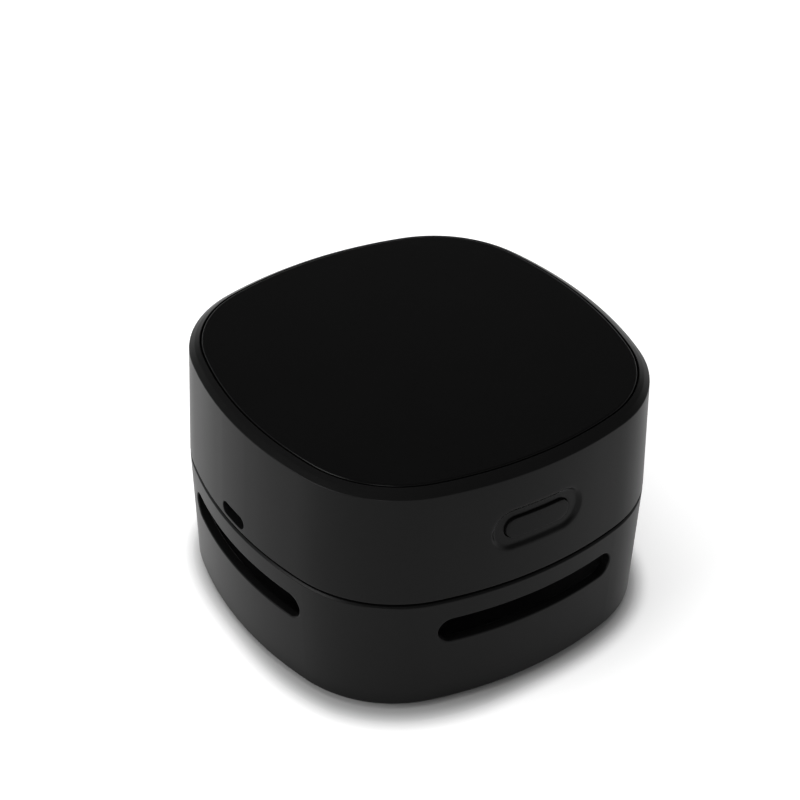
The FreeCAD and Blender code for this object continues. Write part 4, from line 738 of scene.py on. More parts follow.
def finished(name, mesh, finish, sharp=32.0):
    """Object of a mesh with smooth faces, sharp edges by angle and its material."""
    mesh.shade_smooth()
    mesh.set_sharp_from_angle(angle=math.radians(sharp))
    mesh.materials.clear()
    mesh.materials.append(finish)
    piece = linked(name, mesh)
    weights = piece.modifiers.new("Even shading", "WEIGHTED_NORMAL")
    weights.keep_sharp = True
    weights.weight = 80
    return piece


def stand_for(piece, body, node):
    """The piece takes a node's place on its body, and the node is hidden."""
    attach(piece, body)
    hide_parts(node)


# ---------------------------------------------------------------------------------------------------
# holes in bowed walls
# ---------------------------------------------------------------------------------------------------

class Hole:
    """Round-ended hole that leads from a window in an outer wall to the same window in the inner one."""

    crowding = 0.8  # power that draws the rows towards the round-ended one

    def __init__(self, skin, outline, side, level, inset_at):
        self.skin = skin
        self.outline = outline
        self.side = side
        self.level = level
        self.inset_at = inset_at

    def frame_of(self, rows, levels, reach, height):
        """Closed row of the points round a window: their numbers and their places on the wall."""
        columns = self.outline.window_columns(self.side, reach)
        order = sorted((level, row) for level, row in zip(levels, rows)
                       if abs(level - self.level) < height + WELD)

        def corner(line, column):
            level, row = line
            return row[column], self.outline.columns[column][2], level

        loop = [corner(order[0], column) for column in columns]
        loop += [corner(line, columns[-1]) for line in order[1:]]
        loop += [corner(order[-1], column) for column in columns[-2::-1]]
        loop += [corner(line, columns[0]) for line in order[-2:0:-1]]
        return loop

    def partners(self, loop, half):
        """For each point of a window, its share along the straight part and its direction at the ends."""
        found = [None] * len(loop)
        top = max(z for _, _, z in loop)
        bottom = min(z for _, _, z in loop)
        for i, (_, t, z) in enumerate(loop):
            if abs(t) < half + WELD and (abs(z - top) < WELD or abs(z - bottom) < WELD):
                found[i] = (t / half, math.copysign(math.pi / 2, z - self.level))
        for sign in (1, -1):
            free = [i for i, (_, t, _) in enumerate(loop) if found[i] is None and t * sign > 0]
            if sign < 0:
                free = self.in_order(free)
            steps = len(free) + 1
            for k, i in enumerate(free, start=1):
                found[i] = (sign, -sign * math.pi / 2 + math.pi * k / steps)
        return found

    @staticmethod
    def in_order(numbers):
        """Numbers of one run that may pass the end of the row."""
        if not numbers:
            return numbers
        for i in range(1, len(numbers)):
            if numbers[i] - numbers[i - 1] > 1:
                return numbers[i:] + numbers[:i]
        return numbers

    def ring(self, partners, half, radius, depth, plane=None):
        """Round-ended row of points at a depth below the wall, or on a flat plane."""
        points = []
        for part, direction in partners:
            along = part * half + radius * math.cos(direction)
            level = self.level + radius * math.sin(direction)
            points.append(self.on_wall(along, level, depth) if plane is None
                          else turned(self.side, plane, along, level))
        return self.skin.add(points)

    def on_wall(self, along, level, depth):
        return self.outline.point((self.side, "side", along), self.inset_at(level) + depth, level)

    def spread(self, loop, partners, half, radius, depth, steps):
        """Rows that pass from the window's edge to the first round-ended row, closer near that row."""
        rows = []
        for k in range(1, steps):
            way = (k / steps) ** self.crowding
            points = []
            for (_, t, z), (part, direction) in zip(loop, partners):
                along = part * half + radius * math.cos(direction)
                level = self.level + radius * math.sin(direction)
                points.append(self.on_wall(t + (along - t) * way, z + (level - z) * way, depth))
            rows.append(self.skin.add(points))
        return rows

    def make(self, outer, inner, rings, first, last, wall, steps=3):
        """Join the two windows by rings of (half, radius, depth) or (half, radius, depth, plane)."""
        outer_partners = self.partners(outer, first[0])
        rows = [[i for i, _, _ in outer]]
        rows += self.spread(outer, outer_partners, first[0], first[1], 0.0, steps)
        rows += [self.ring(outer_partners, *ring) for ring in rings]
        rows += list(reversed(self.spread(inner, outer_partners, last[0], last[1], wall, steps)))
        rows.append([i for i, _, _ in inner])
        self.skin.strips(rows)


def wall_rows(skin, outline, profile):
    """Rows of points for a profile of (inset, level)."""
    return [skin.add(outline.ring(inset, level)) for inset, level in profile]


def at_levels(rows, profile, levels):
    """Rows of a wall at the given levels."""
    return [next(row for row, (_, z) in zip(rows, profile) if abs(z - level) < WELD) for level in levels]


def wall_faces(skin, outline, rows, profile, windows):
    """Faces between rows, leaving out the windows given as (side, reach, level, height)."""
    count = len(outline.columns)
    levels = [level for _, level in profile]
    for first, second, z0, z1 in zip(rows, rows[1:], levels, levels[1:]):
        left_out = set()
        for side, reach, level, height in windows:
            if max(abs(z0 - level), abs(z1 - level)) < height + WELD:
                left_out |= set(outline.window_columns(side, reach)[:-1])
        for i in range(count):
            if i not in left_out:
                j = (i + 1) % count
                skin.faces.append((first[i], first[j], second[j], second[i]))


# ---------------------------------------------------------------------------------------------------
# shells
# ---------------------------------------------------------------------------------------------------

class Vacuum:
    """The sizes and colours of the scene, and what follows from them."""

    def __init__(self, scene):
        self.shells = scene.vacuum_shells
        self.holes = scene.vacuum_openings
        self.fittings = scene.vacuum_fittings
        self.inside = scene.vacuum_inside
        self.colours = scene.vacuum_colours
        self.view = scene.vacuum_view

    def upper_inset(self, level):
        """How far the upper shell's wall has moved in at a level."""
        return (level - self.shells.shell_bottom) * math.tan(self.shells.upper_draft)

    def upper_inner(self, level):
        return self.upper_inset(level) + self.shells.wall

    def lower_inset(self, level):
        """How far the bowl's wall has moved in at a level."""
        return (self.shells.bowl_top - level) * math.tan(self.shells.lower_draft)

    def lower_inner(self, level):
        return self.lower_inset(level) + self.shells.wall

    def finish_of(self, name):
        """Finish made earlier under a slot's name."""
        return bpy.data.materials[name + " finish"]


def stadium(length, width):
    """Half the straight part and the end radius of a round-ended hole."""
    return (length - width) / 2, width / 2


def reach_columns(half, edge, steps, tail_steps=3):
    """Column positions over a window: even over its straight part, and on to its edge."""
    inside = spaced(-half, half, steps)
    return both_ways(inside, spaced(half, edge, tail_steps)[1:])


def both_ways(columns, outside):
    """Column positions with further ones added on both sides of them."""
    return [-t for t in reversed(outside)] + columns + outside


def fillet(half, radius, blend, depth=0.0, steps=4, outwards=True):
    """Rings that round the edge between a wall at a depth and a round-ended hole."""
    rings = []
    for a in quarter(steps):
        shift = blend * (1 - math.cos(a))
        ring = (half, radius + blend * (1 - math.sin(a)), depth + (shift if outwards else -shift))
        rings.append(ring)
    return rings if outwards else rings[::-1]


def window_levels(level, height, steps):
    return spaced(level - height, level + height, steps)


class VACUUM_OT_bowl(bpy.types.Operator):
    """Lower shell with its exhaust slots, inlet, brush channels and feet seats"""

    bl_idname = "vacuum.bowl"
    bl_label = "Dust bowl"

    def execute(self, context):
        vacuum = Vacuum(context.scene)
        shells, holes = vacuum.shells, vacuum.holes
        half, radius = stadium(holes.slot_length, holes.slot_width)
        reach, height = half + radius + SLOT_MARGIN, radius + SLOT_MARGIN
        outline = Outline(shells, [reach_columns(half, reach, 30)] * 4)
        skin = Skin()
        levels = window_levels(holes.slot_level, height, 16)
        outer, inner = self.outer_wall(vacuum, levels), self.inner_wall(vacuum, levels)
        rows = wall_rows(skin, outline, outer + inner)
        windows = [(side, reach, holes.slot_level, height) for side in range(4)]
        wall_faces(skin, outline, rows, outer + inner, windows)

        outer_rows = at_levels(rows[:len(outer)], outer, levels)
        inner_rows = at_levels(rows[len(outer):], inner, levels)
        rings = fillet(half, radius, holes.slot_edge)
        rings += [(half, radius, shells.wall * share) for share in (0.4, 0.65)]
        rings += fillet(half, radius, holes.slot_edge, shells.wall, outwards=False)
        ends = (half, radius + holes.slot_edge)
        for side in range(4):
            hole = Hole(skin, outline, side, holes.slot_level, vacuum.lower_inset)
            hole.make(hole.frame_of(outer_rows, levels, reach, height),
                      hole.frame_of(inner_rows, levels, reach, height), rings, ends, ends, shells.wall)
        chimney = self.underside(skin, rows[0], vacuum)
        skin.fill([rows[-1], chimney])
        piece = skin.piece("bowl_shell", vacuum.finish_of("shell_plastic"))
        stand_for(piece, "dust_bowl", "dust_bowl")
        return {"FINISHED"}

    @staticmethod
    def outer_wall(vacuum, levels):
        """Profile from the base's edge up to the upper edge."""
        shells, at = vacuum.shells, vacuum.lower_inset
        base = rounded((at(shells.bowl_bottom) + ASIDE, shells.bowl_bottom, 0),
                       (at(shells.bowl_bottom), shells.bowl_bottom, shells.base_radius),
                       (at(levels[0]), levels[0], 0))
        shoulder = shells.bowl_top - shells.lip_bevel
        top = rounded((at(levels[-1]), levels[-1], 0), (at(shoulder), shoulder, shells.crease),
                      (shells.lip_bevel * 0.9, shells.bowl_top, shells.edge_break),
                      (shells.wall, shells.bowl_top, 0))
        return base[1:-1] + [(at(z), z) for z in levels] + top[1:-1]

    @staticmethod
    def inner_wall(vacuum, levels):
        """Profile from the upper edge down to the floor, over the ledge that carries the filter."""
        shells, at = vacuum.shells, vacuum.lower_inner
        ledge, floor = shells.bowl_bottom + shells.ledge_height, shells.bowl_bottom + shells.wall
        narrow = at(ledge) + shells.ledge_width
        floor_inset = narrow + (ledge - floor) * math.tan(shells.lower_draft)
        top = rounded((0.0, shells.bowl_top, 0), (shells.wall, shells.bowl_top, shells.crease),
                      (at(levels[-1]), levels[-1], 0))
        foot = rounded((at(levels[0]), levels[0], 0), (at(ledge), ledge, shells.ledge_corner),
                       (narrow, ledge, shells.crease), (floor_inset, floor, shells.base_radius),
                       (floor_inset + ASIDE, floor, 0))
        return top[1:-1] + [(at(z), z) for z in reversed(levels)] + foot[1:-1]

    def underside(self, skin, edge, vacuum):
        """Base with the feet's seats, the brush channels and the inlet; gives back the inlet's last row."""
        base, fittings = vacuum.shells.bowl_bottom, vacuum.fittings
        holes = []
        for place in foot_places(fittings):
            rim = circle(fittings.foot_radius + fittings.foot_gap, base, 48, place)
            mouth, roof = self.pocket(skin, rim, fittings.foot_seat)
            skin.faces.append(tuple(roof))
            holes.append(mouth)
        for quadrant in range(4):
            rim = band(fittings.channel_inner, fittings.channel_outer, quadrant * math.pi / 2,
                       fittings.channel_angle, base)
            mouth, roof = self.pocket(skin, rim, fittings.channel_depth)
            skin.fill([roof])
            holes.append(mouth)
        inlet = [skin.add(circle(radius, level, 96)) for radius, level in self.inlet_profile(vacuum)]
        skin.strips(inlet)
        skin.fill([edge, *holes, inlet[0]])
        return inlet[-1]

    @staticmethod
    def pocket(skin, rim, depth):
        """Walls of a blind hole over a rim; gives back its mouth and its roof."""
        mouth = skin.add(rim)
        roof = skin.add([(x, y, z + depth) for x, y, z in rim])
        skin.strip(mouth, roof)
        return mouth, roof

    @staticmethod
    def inlet_profile(vacuum):
        """Mouth, bore, chimney and raised ring, from the base inwards and down to the floor."""
        base, holes = vacuum.shells.bowl_bottom, vacuum.holes
        outside, lip = holes.inlet_radius + holes.inlet_wall, holes.inlet_wall / 2
        ring, edge = base + holes.ring_height, holes.inlet_edge
        mouth = arc(holes.inlet_radius + edge, base + edge, edge, -90.0, -180.0, 5)
        chimney = arc(outside - lip, base + holes.inlet_height - lip, lip, 180.0, 0.0, 8)
        step = arc(outside + holes.ring_fillet, ring + holes.ring_fillet, holes.ring_fillet, -180.0, -90.0, 4)
        rim = arc(holes.ring_radius - holes.ring_edge, ring - holes.ring_edge, holes.ring_edge, 90.0, 0.0, 4)
        return mouth + chimney + step + rim + [(holes.ring_radius, base + vacuum.shells.wall)]


def band(inner, outer, middle, half_angle, level, steps=28):
    """Closed row round a curved strip that lies about the middle axis."""
    angles = spaced(middle - half_angle, middle + half_angle, steps)
    return ([(outer * math.cos(a), outer * math.sin(a), level) for a in angles]
            + [(inner * math.cos(a), inner * math.sin(a), level) for a in reversed(angles)])


def foot_places(fittings):
    """Middles of the four feet."""
    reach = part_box("glide_feet")[1].x - fittings.foot_radius
    return [(x * reach, y * reach) for x in (1, -1) for y in (1, -1)]


class VACUUM_OT_housing(bpy.types.Operator):
    """Upper shell with the rim, the button's dished recess, the power inlet, and the cells' tray"""

    bl_idname = "vacuum.housing"
    bl_label = "Upper housing"

    rim_bulge = (0.52, 0.46)  # the slanted rim's middle, as shares of its width and height
    above_dish = 0.0022  # from the recess's window to the next row of points
    slope_outside = 0.05  # share of the recess's soft slope that lies outside its outline
    slope_steps = 12

    def execute(self, context):
        vacuum = Vacuum(context.scene)
        shells, holes = vacuum.shells, vacuum.holes
        dish = stadium(holes.recess_length, holes.recess_width)
        port = stadium(holes.port_length, holes.port_width)
        dish_window = (sum(dish) + shells.wall + HOLE_MARGIN, dish[1] + shells.wall + HOLE_MARGIN)
        port_window = (sum(port) + HOLE_MARGIN, port[1] + PORT_MARGIN)
        plain = spaced(-SIDE_REACH, SIDE_REACH, 24)
        front = both_ways(reach_columns(dish[0], dish_window[0], 16, 8), [0.0145, 0.0165, 0.0185, SIDE_REACH])
        left = both_ways(reach_columns(port[0], port_window[0], 12),
                         [0.0075, 0.01, 0.013, 0.0165, SIDE_REACH])
        outline = Outline(shells, [plain, plain, left, front])
        skin = Skin()
        dish_levels = window_levels(holes.button_level, dish_window[1], 28)
        port_levels = window_levels(holes.port_level, port_window[1], 12)
        between = (port_levels[-1] + dish_levels[0]) / 2
        levels = sorted({*port_levels, between, *dish_levels, dish_levels[-1] + self.above_dish})
        seat = shells.shell_top - shells.cover_thickness
        tray = seat - shells.tray_thickness
        outer, inner = self.outer_wall(vacuum, levels, seat), self.inner_wall(vacuum, levels, tray)
        rows_out = wall_rows(skin, outline, outer)
        rows_in = wall_rows(skin, outline, inner)
        windows = [(SIDES["front"], dish_window[0], holes.button_level, dish_window[1]),
                   (SIDES["left"], port_window[0], holes.port_level, port_window[1])]
        wall_faces(skin, outline, rows_out, outer, windows)
        wall_faces(skin, outline, rows_in, inner, windows)
        skin.strip(rows_in[-1], rows_out[0])

        walls = ((rows_out, outer), (rows_in, inner))
        hole = Hole(skin, outline, SIDES["left"], holes.port_level, vacuum.upper_inset)
        loops = [hole.frame_of(at_levels(*wall, port_levels), port_levels, *port_window) for wall in walls]
        rings = fillet(*port, holes.port_edge, steps=3)
        rings += fillet(*port, holes.port_inner_edge, shells.wall, steps=2, outwards=False)
        hole.make(*loops, rings, (port[0], port[1] + holes.port_edge),
                  (port[0], port[1] + holes.port_inner_edge), shells.wall)

        hole = Hole(skin, outline, SIDES["front"], holes.button_level, vacuum.upper_inset)
        loops = [hole.frame_of(at_levels(*wall, dish_levels), dish_levels, *dish_window) for wall in walls]
        slope_start = dish[1] + holes.recess_softness * self.slope_outside
        hole.make(*loops, self.dish_rings(vacuum, dish), (dish[0], slope_start),
                  (dish[0], dish[1] + shells.wall), shells.wall, steps=5)
        self.tray(skin, vacuum, rows_out[-1], rows_in[0], seat, tray)
        self.posts(skin, vacuum, tray)
        piece = skin.piece("upper_shell", vacuum.finish_of("shell_plastic"))
        stand_for(piece, "motor_unit", "upper_housing")
        return {"FINISHED"}

    def outer_wall(self, vacuum, levels, seat):
        """Profile from the groove of the lower edge up over the rim and down to the cover's seat."""
        shells, at = vacuum.shells, vacuum.upper_inset
        edge, rim_level = shells.shell_bottom + shells.shadow_gap, shells.shell_top - shells.rim_height
        rim, inside = at(rim_level), at(rim_level) + shells.rim_width
        foot = rounded((shells.wall, shells.shell_bottom, 0),
                       (shells.groove_inset, shells.shell_bottom, shells.edge_break / 2),
                       (shells.groove_inset, edge, shells.edge_break), (at(edge), edge, shells.shell_edge),
                       (at(levels[0]), levels[0], 0))
        bulge = (rim + shells.rim_width * self.rim_bulge[0],
                 shells.shell_top - shells.rim_height * self.rim_bulge[1])
        top = rounded((at(levels[-1]), levels[-1], 0), (rim, rim_level, shells.crease),
                      (*bulge, shells.rim_shoulder),
                      (inside, shells.shell_top - shells.cover_step, shells.edge_break), (inside, seat, 0))
        return foot[1:-1] + [(at(z), z) for z in levels] + top[1:]

    @staticmethod
    def inner_wall(vacuum, levels, tray):
        """Profile from the tray down to the lower edge."""
        shells, edge = vacuum.shells, vacuum.shells.inner_edge
        wall = [(vacuum.upper_inner(z), z) for z in [tray] + levels[::-1]]
        return wall + arc(shells.wall - edge, shells.shell_bottom + edge, edge, 0.0, -90.0, 3)

    def dish_rings(self, vacuum, dish):
        """Soft slope into the recess, its floor, the button's hole and the flat back."""
        shells, holes = vacuum.shells, vacuum.holes
        half, radius = dish
        rings = []
        for way in spaced(0.0, 1.0, self.slope_steps):
            fall = way * way * (3 - 2 * way)
            rings.append((half, radius + holes.recess_softness * (self.slope_outside - way),
                          holes.recess_depth * fall))
        hole = stadium(holes.button_length + 2 * holes.button_gap, holes.button_width + 2 * holes.button_gap)
        start, end = rings[-1][1], hole[1] + shells.edge_break
        for way in (0.3, 0.6):
            rings.append((half + (hole[0] - half) * way, start + (end - start) * way, holes.recess_depth))
        rings += fillet(*hole, shells.edge_break, holes.recess_depth, 3)
        behind = (half, radius + shells.wall)
        rings += [(*hole, 0.0, holes.recess_back), (*behind, 0.0, holes.recess_back), (*behind, shells.wall)]
        return rings

    def tray(self, skin, vacuum, seat_edge, tray_edge, seat, tray):
        """Plate below the cover with two round-bottomed bays that hang from it."""
        fittings, wall = vacuum.fittings, vacuum.shells.tray_thickness
        tops, roofs = [], []
        radius, half, level = fittings.bay_radius, fittings.bay_length / 2, fittings.bay_level
        for middle in (fittings.bay_place, -fittings.bay_place):
            tops.append(self.trough(skin, middle, radius, half, level, seat))
            roofs.append(self.trough(skin, middle, radius + wall, half + wall, level, tray))
        skin.fill([seat_edge] + tops)
        skin.fill([tray_edge] + roofs)

    @staticmethod
    def trough(skin, middle, radius, half, level, top, steps=28):
        """Open trough; gives back its upper edge."""
        section = [(middle + radius, top)] + arc(middle, level, radius, 0.0, -180.0, steps)
        section.append((middle - radius, top))
        ends = [skin.add([(x, y, z) for x, z in section]) for y in (-half, half)]
        skin.strip(*ends, closed=False)
        for end in ends:
            skin.faces.append(tuple(end))
        return [ends[0][0], ends[0][-1], ends[1][-1], ends[1][0]]

    @staticmethod
    def posts(skin, vacuum, tray):
        """Posts that take the deck's screws and those of the switch board."""
        shells, fittings = vacuum.shells, vacuum.fittings
        place = fittings.post_place / math.sqrt(2)
        foot = high("deck_screws") - fittings.post_drop
        post = post_profile(fittings.post_radius, 2 * shells.edge_break, foot, tray + shells.overlap)
        for x, y in ((1, 1), (-1, 1), (-1, -1), (1, -1)):
            skin.turned_solid(post, (x * place, y * place))
        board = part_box("switch_board")[1].y
        post = post_profile(fittings.board_post_radius, shells.edge_break, board,
                            board + fittings.board_post_length)
        for x in (fittings.board_post_place, -fittings.board_post_place):
            skin.turned_solid(post, (x, vacuum.holes.button_level), lying=True)


def post_profile(radius, bevel, start, end):
    """Profile of a round post with a bevelled start."""
    return [(0.0, start), (radius - bevel, start), (radius, start + bevel), (radius, end), (0.0, end)]


class VACUUM_OT_cover(bpy.types.Operator):
    """Flush cover over the cells, with the ribs that keep them down"""

    bl_idname = "vacuum.cover"
    bl_label = "Cover"

    def execute(self, context):
        vacuum = Vacuum(context.scene)
        shells, fittings = vacuum.shells, vacuum.fittings
        outline = Outline(shells, [spaced(-COVER_REACH, COVER_REACH, 20)] * 4)
        skin = Skin()
        rim = vacuum.upper_inset(shells.shell_top - shells.rim_height)
        inset = rim + shells.rim_width + shells.cover_seam
        seat = shells.shell_top - shells.cover_thickness
        profile = rounded((inset, seat, 0), (inset, shells.shell_top, shells.cover_edge),
                          (inset + ASIDE, shells.shell_top, 0))[:-1]
        rows = wall_rows(skin, outline, profile)
        skin.strips(rows)
        skin.fill([rows[0]])
        skin.fill([rows[-1]])
        rib = Vector((fittings.rib_length / 2, fittings.rib_width / 2))
        bottom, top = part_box("top_cover")[0].z, seat + shells.overlap
        for x in (fittings.bay_place, -fittings.bay_place):
            for y in (fittings.rib_place, -fittings.rib_place):
                skin.block((x - rib.x, y - rib.y, bottom), (x + rib.x, y + rib.y, top))
        piece = skin.piece("cover_panel", vacuum.finish_of("cover_plastic"))
        stand_for(piece, "top_cover", "top_cover")
        return {"FINISHED"}


class VACUUM_OT_button(bpy.types.Operator):
    """Push button whose face follows the wall, with the flange that keeps it in"""

    bl_idname = "vacuum.button"
    bl_label = "Button"

    def execute(self, context):
        vacuum = Vacuum(context.scene)
        shells, holes = vacuum.shells, vacuum.holes
        half, radius = stadium(holes.button_length, holes.button_width)
        outline = Outline(shells, [spaced(-SIDE_REACH, SIDE_REACH, 24)] * 4)
        skin = Skin()
        hole = Hole(skin, outline, SIDES["front"], holes.button_level, vacuum.upper_inset)
        places = [(share, -math.pi / 2) for share in spaced(-1.0, 1.0, 14)]
        places += [(1.0, turn) for turn in spaced(-math.pi / 2, math.pi / 2, 18)[1:-1]]
        places += [(share, math.pi / 2) for share in spaced(1.0, -1.0, 14)]
        places += [(-1.0, turn) for turn in spaced(math.pi / 2, 3 * math.pi / 2, 18)[1:-1]]
        face, edge = holes.recess_depth - holes.button_proud, holes.button_edge
        rings = [(half, radius * share, face) for share in (0.0, 0.3, 0.6)]
        rings += [(half, reach, depth)
                  for reach, depth in arc(radius - edge, face + edge, edge, -90.0, 0.0, 5)]
        back = -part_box("power_button")[1].y
        wide = radius + holes.flange_width
        rings += [(half, radius, 0.0, holes.flange_front), (half, wide, 0.0, holes.flange_front)]
        rings += [(half, wide * share, 0.0, back) for share in (1.0, 0.5, 0.0)]
        skin.strips([hole.ring(places, *ring) for ring in rings])
        piece = skin.piece("button_cap", vacuum.finish_of("button_plastic"))
        stand_for(piece, "button", "power_button")
        return {"FINISHED"}


class VACUUM_OT_feet(bpy.types.Operator):
    """Four round glide feet"""

    bl_idname = "vacuum.feet"
    bl_label = "Feet"

    def execute(self, context):
        vacuum = Vacuum(context.scene)
        fittings = vacuum.fittings
        skin = Skin()
        lowest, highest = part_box("glide_feet")
        bottom, top = lowest.z, highest.z - CLEARANCE
        dimple, edge = bottom + fittings.dimple_depth, fittings.foot_edge
        profile = [(0.0, dimple), (fittings.dimple_radius - fittings.dimple_slope, dimple),
                   (fittings.dimple_radius, bottom)]
        profile += arc(fittings.foot_radius - edge, bottom + edge, edge, -90.0, 0.0, 5)
        profile += [(fittings.foot_radius, top), (0.0, top)]
        for place in foot_places(fittings):
            skin.turned_solid(profile, place, 48)
        piece = skin.piece("rubber_feet", vacuum.finish_of("foot_rubber"))
        stand_for(piece, "dust_bowl", "glide_feet")
        return {"FINISHED"}


# ---------------------------------------------------------------------------------------------------
# repeated parts
# ---------------------------------------------------------------------------------------------------

class Repeat(Graph):
    """Geometry Nodes tree with named inputs, run once on a base mesh."""

    def __init__(self, name, **inputs):
        tree = bpy.data.node_groups.new(name, "GeometryNodeTree")
        super().__init__(tree)
        tree.interface.new_socket("Geometry", in_out="INPUT", socket_type="NodeSocketGeometry")
        for label, kind in inputs.items():
            tree.interface.new_socket(label.replace("_", " "), in_out="INPUT", socket_type=kind)
        tree.interface.new_socket("Geometry", in_out="OUTPUT", socket_type="NodeSocketGeometry")
        self.start = tree.nodes.new("NodeGroupInput")

    def given(self, name="Geometry"):
        return Value(self, self.start.outputs[name])

    def join(self, *parts):
        """One geometry; its socket takes several links, so they are made here."""
        joined = self.tree.nodes.new("GeometryNodeJoinGeometry")
        for part in parts:
            self.tree.links.new(part.socket, joined.inputs[0])
        return Value(self, joined.outputs[0])

    def moved(self, geometry, **how):
        """Geometry moved by a translation, a rotation or both."""
        sockets = {key.capitalize(): value for key, value in how.items()}
        return self.node("GeometryNodeTransform", {}, {"Geometry": geometry, **sockets})

    def instances(self, points, instance, **sockets):
        """An instance at each point."""
        return self.node("GeometryNodeInstanceOnPoints", {},
                         {"Points": points, "Instance": instance, **sockets})

    def tube(self, curve, profile, caps=False):
        """Mesh of a profile that follows a curve."""
        return self.node("GeometryNodeCurveToMesh", {},
                         {"Curve": curve, "Profile Curve": profile, "Fill Caps": caps})

    def rectangle(self, width, height):
        return self.node("GeometryNodeCurvePrimitiveQuadrilateral", {}, {"Width": width, "Height": height})

    def ring(self, radius, resolution):
        return self.node("GeometryNodeCurvePrimitiveCircle", {"mode": "RADIUS"},
                         {"Resolution": resolution, "Radius": radius})

    def cylinder(self, radius, depth, sides):
        return self.node("GeometryNodeMeshCylinder", {"fill_type": "NGON"},
                         {"Vertices": sides, "Radius": radius, "Depth": depth})

    def cone(self, bottom, top, depth, sides, segments=1):
        return self.node("GeometryNodeMeshCone", {"fill_type": "NGON"},
                         {"Vertices": sides, "Side Segments": segments, "Radius Top": top,
                          "Radius Bottom": bottom, "Depth": depth})

    def done(self, geometry, finish):
        """End of the tree: instances realised and the finish set."""
        real = self.node("GeometryNodeRealizeInstances", {}, {"Geometry": geometry})
        painted = self.node("GeometryNodeSetMaterial", {}, {"Geometry": real, "Material": finish})
        end = self.tree.nodes.new("NodeGroupOutput")
        self.tree.links.new(painted.socket, end.inputs[0])

    def run(self, name, base, finish, sharp=32.0, **values):
        """Plain object of the tree's result on a base mesh."""
        carrier = linked(name + "_base", base)
        modifier = carrier.modifiers.new("Build", "NODES")
        modifier.node_group = self.tree
        for item in self.tree.interface.items_tree:
            key = item.name.replace(" ", "_")
            if item.in_out == "INPUT" and key in values:
                modifier[item.identifier] = values[key]
        graph = bpy.context.evaluated_depsgraph_get()
        mesh = bpy.data.meshes.new_from_object(carrier.evaluated_get(graph))
        carrier.modifiers.remove(modifier)
        bpy.data.objects.remove(carrier)
        if not mesh.polygons:
            raise RuntimeError(name + " came out empty")
        mesh.name = name
        return finished(name, mesh, finish, sharp)


def places_mesh(name, places, **attributes):
    """Mesh of loose points with float or vector attributes."""
    mesh = bpy.data.meshes.new(name)
    mesh.from_pydata(places, [], [])
    for label, values in attributes.items():
        vector = isinstance(values[0], (tuple, Vector))
        layer = mesh.attributes.new(label, "FLOAT_VECTOR" if vector else "FLOAT", "POINT")
        for item, value in zip(layer.data, values):
            if vector:
                item.vector = value
            else:
                item.value = value
    return mesh


class VACUUM_OT_fan(bpy.types.Operator):
    """Fan with curved blades below a round plate"""

    bl_idname = "vacuum.fan"
    bl_label = "Fan"

    bite = 0.0001  # how far the plate's thicker middle runs into it

    def execute(self, context):
        vacuum = Vacuum(context.scene)
        finish = vacuum.finish_of("impeller_plastic")
        inside = vacuum.inside
        lowest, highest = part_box("impeller")
        radius, bottom, top = highest.x, lowest.z, highest.z
        centre, first, last = self.blade_arc(inside, radius)
        graph = Repeat("Fan", Blades="NodeSocketInt", Plate="NodeSocketFloat", Height="NodeSocketFloat")
        count, plate, height = graph.given("Blades"), graph.given("Plate"), graph.given("Height")
        curve = graph.node("GeometryNodeCurveArc", {"mode": "RADIUS"},
                           {"Resolution": 20, "Radius": inside.blade_curve, "Start Angle": first,
                            "Sweep Angle": last - first})
        tall = height - plate * 0.5
        blade = graph.tube(curve, graph.rectangle(inside.blade_thickness, tall), caps=True)
        blade = graph.moved(blade, translation=graph.place(centre.x, centre.y, tall * 0.5 + bottom))
        points = graph.node("GeometryNodePoints", {}, {"Count": count})
        turn = graph.node("GeometryNodeInputIndex") * (2 * math.pi) / count
        parts = [graph.instances(points, blade, Rotation=graph.place(0.0, 0.0, turn))]
        under = top - inside.plate_thickness
        discs = ((radius, under, top, 128), (inside.hub_radius, bottom + inside.hub_taper, top, 48),
                 (inside.cone_radius, under - inside.cone_drop, under + self.bite, 96))
        for rim, start, end, sides in discs:
            disc = graph.cylinder(rim, end - start, sides)
            parts.append(graph.moved(disc, translation=(0.0, 0.0, (start + end) / 2)))
        nose = graph.cone(inside.hub_radius, inside.hub_tip, inside.hub_taper, 48)
        parts.append(graph.moved(nose, translation=(0.0, 0.0, bottom + inside.hub_taper / 2),
                                 rotation=(math.pi, 0.0, 0.0)))
        graph.done(graph.join(*parts), finish)
        piece = graph.run("fan_wheel", places_mesh("fan_place", [(0, 0, 0)]), finish,
                          Blades=inside.blade_count, Plate=inside.plate_thickness, Height=top - bottom)
        stand_for(piece, "rotor", "impeller")
        return {"FINISHED"}

    @staticmethod
    def blade_arc(inside, radius):
        """Centre and two angles of the arc that a blade follows from its start to its tip."""
        start = Vector((inside.blade_start, 0.0))
        tip = Vector((radius * math.cos(inside.blade_sweep), radius * math.sin(inside.blade_sweep)))
        chord = tip - start
        rise = math.sqrt(inside.blade_curve ** 2 - chord.length_squared / 4)
        centre = (tip + start) / 2 + Vector((-chord.y, chord.x)) / chord.length * rise
        return (centre, math.atan2(start.y - centre.y, start.x - centre.x),
                math.atan2(tip.y - centre.y, tip.x - centre.x))


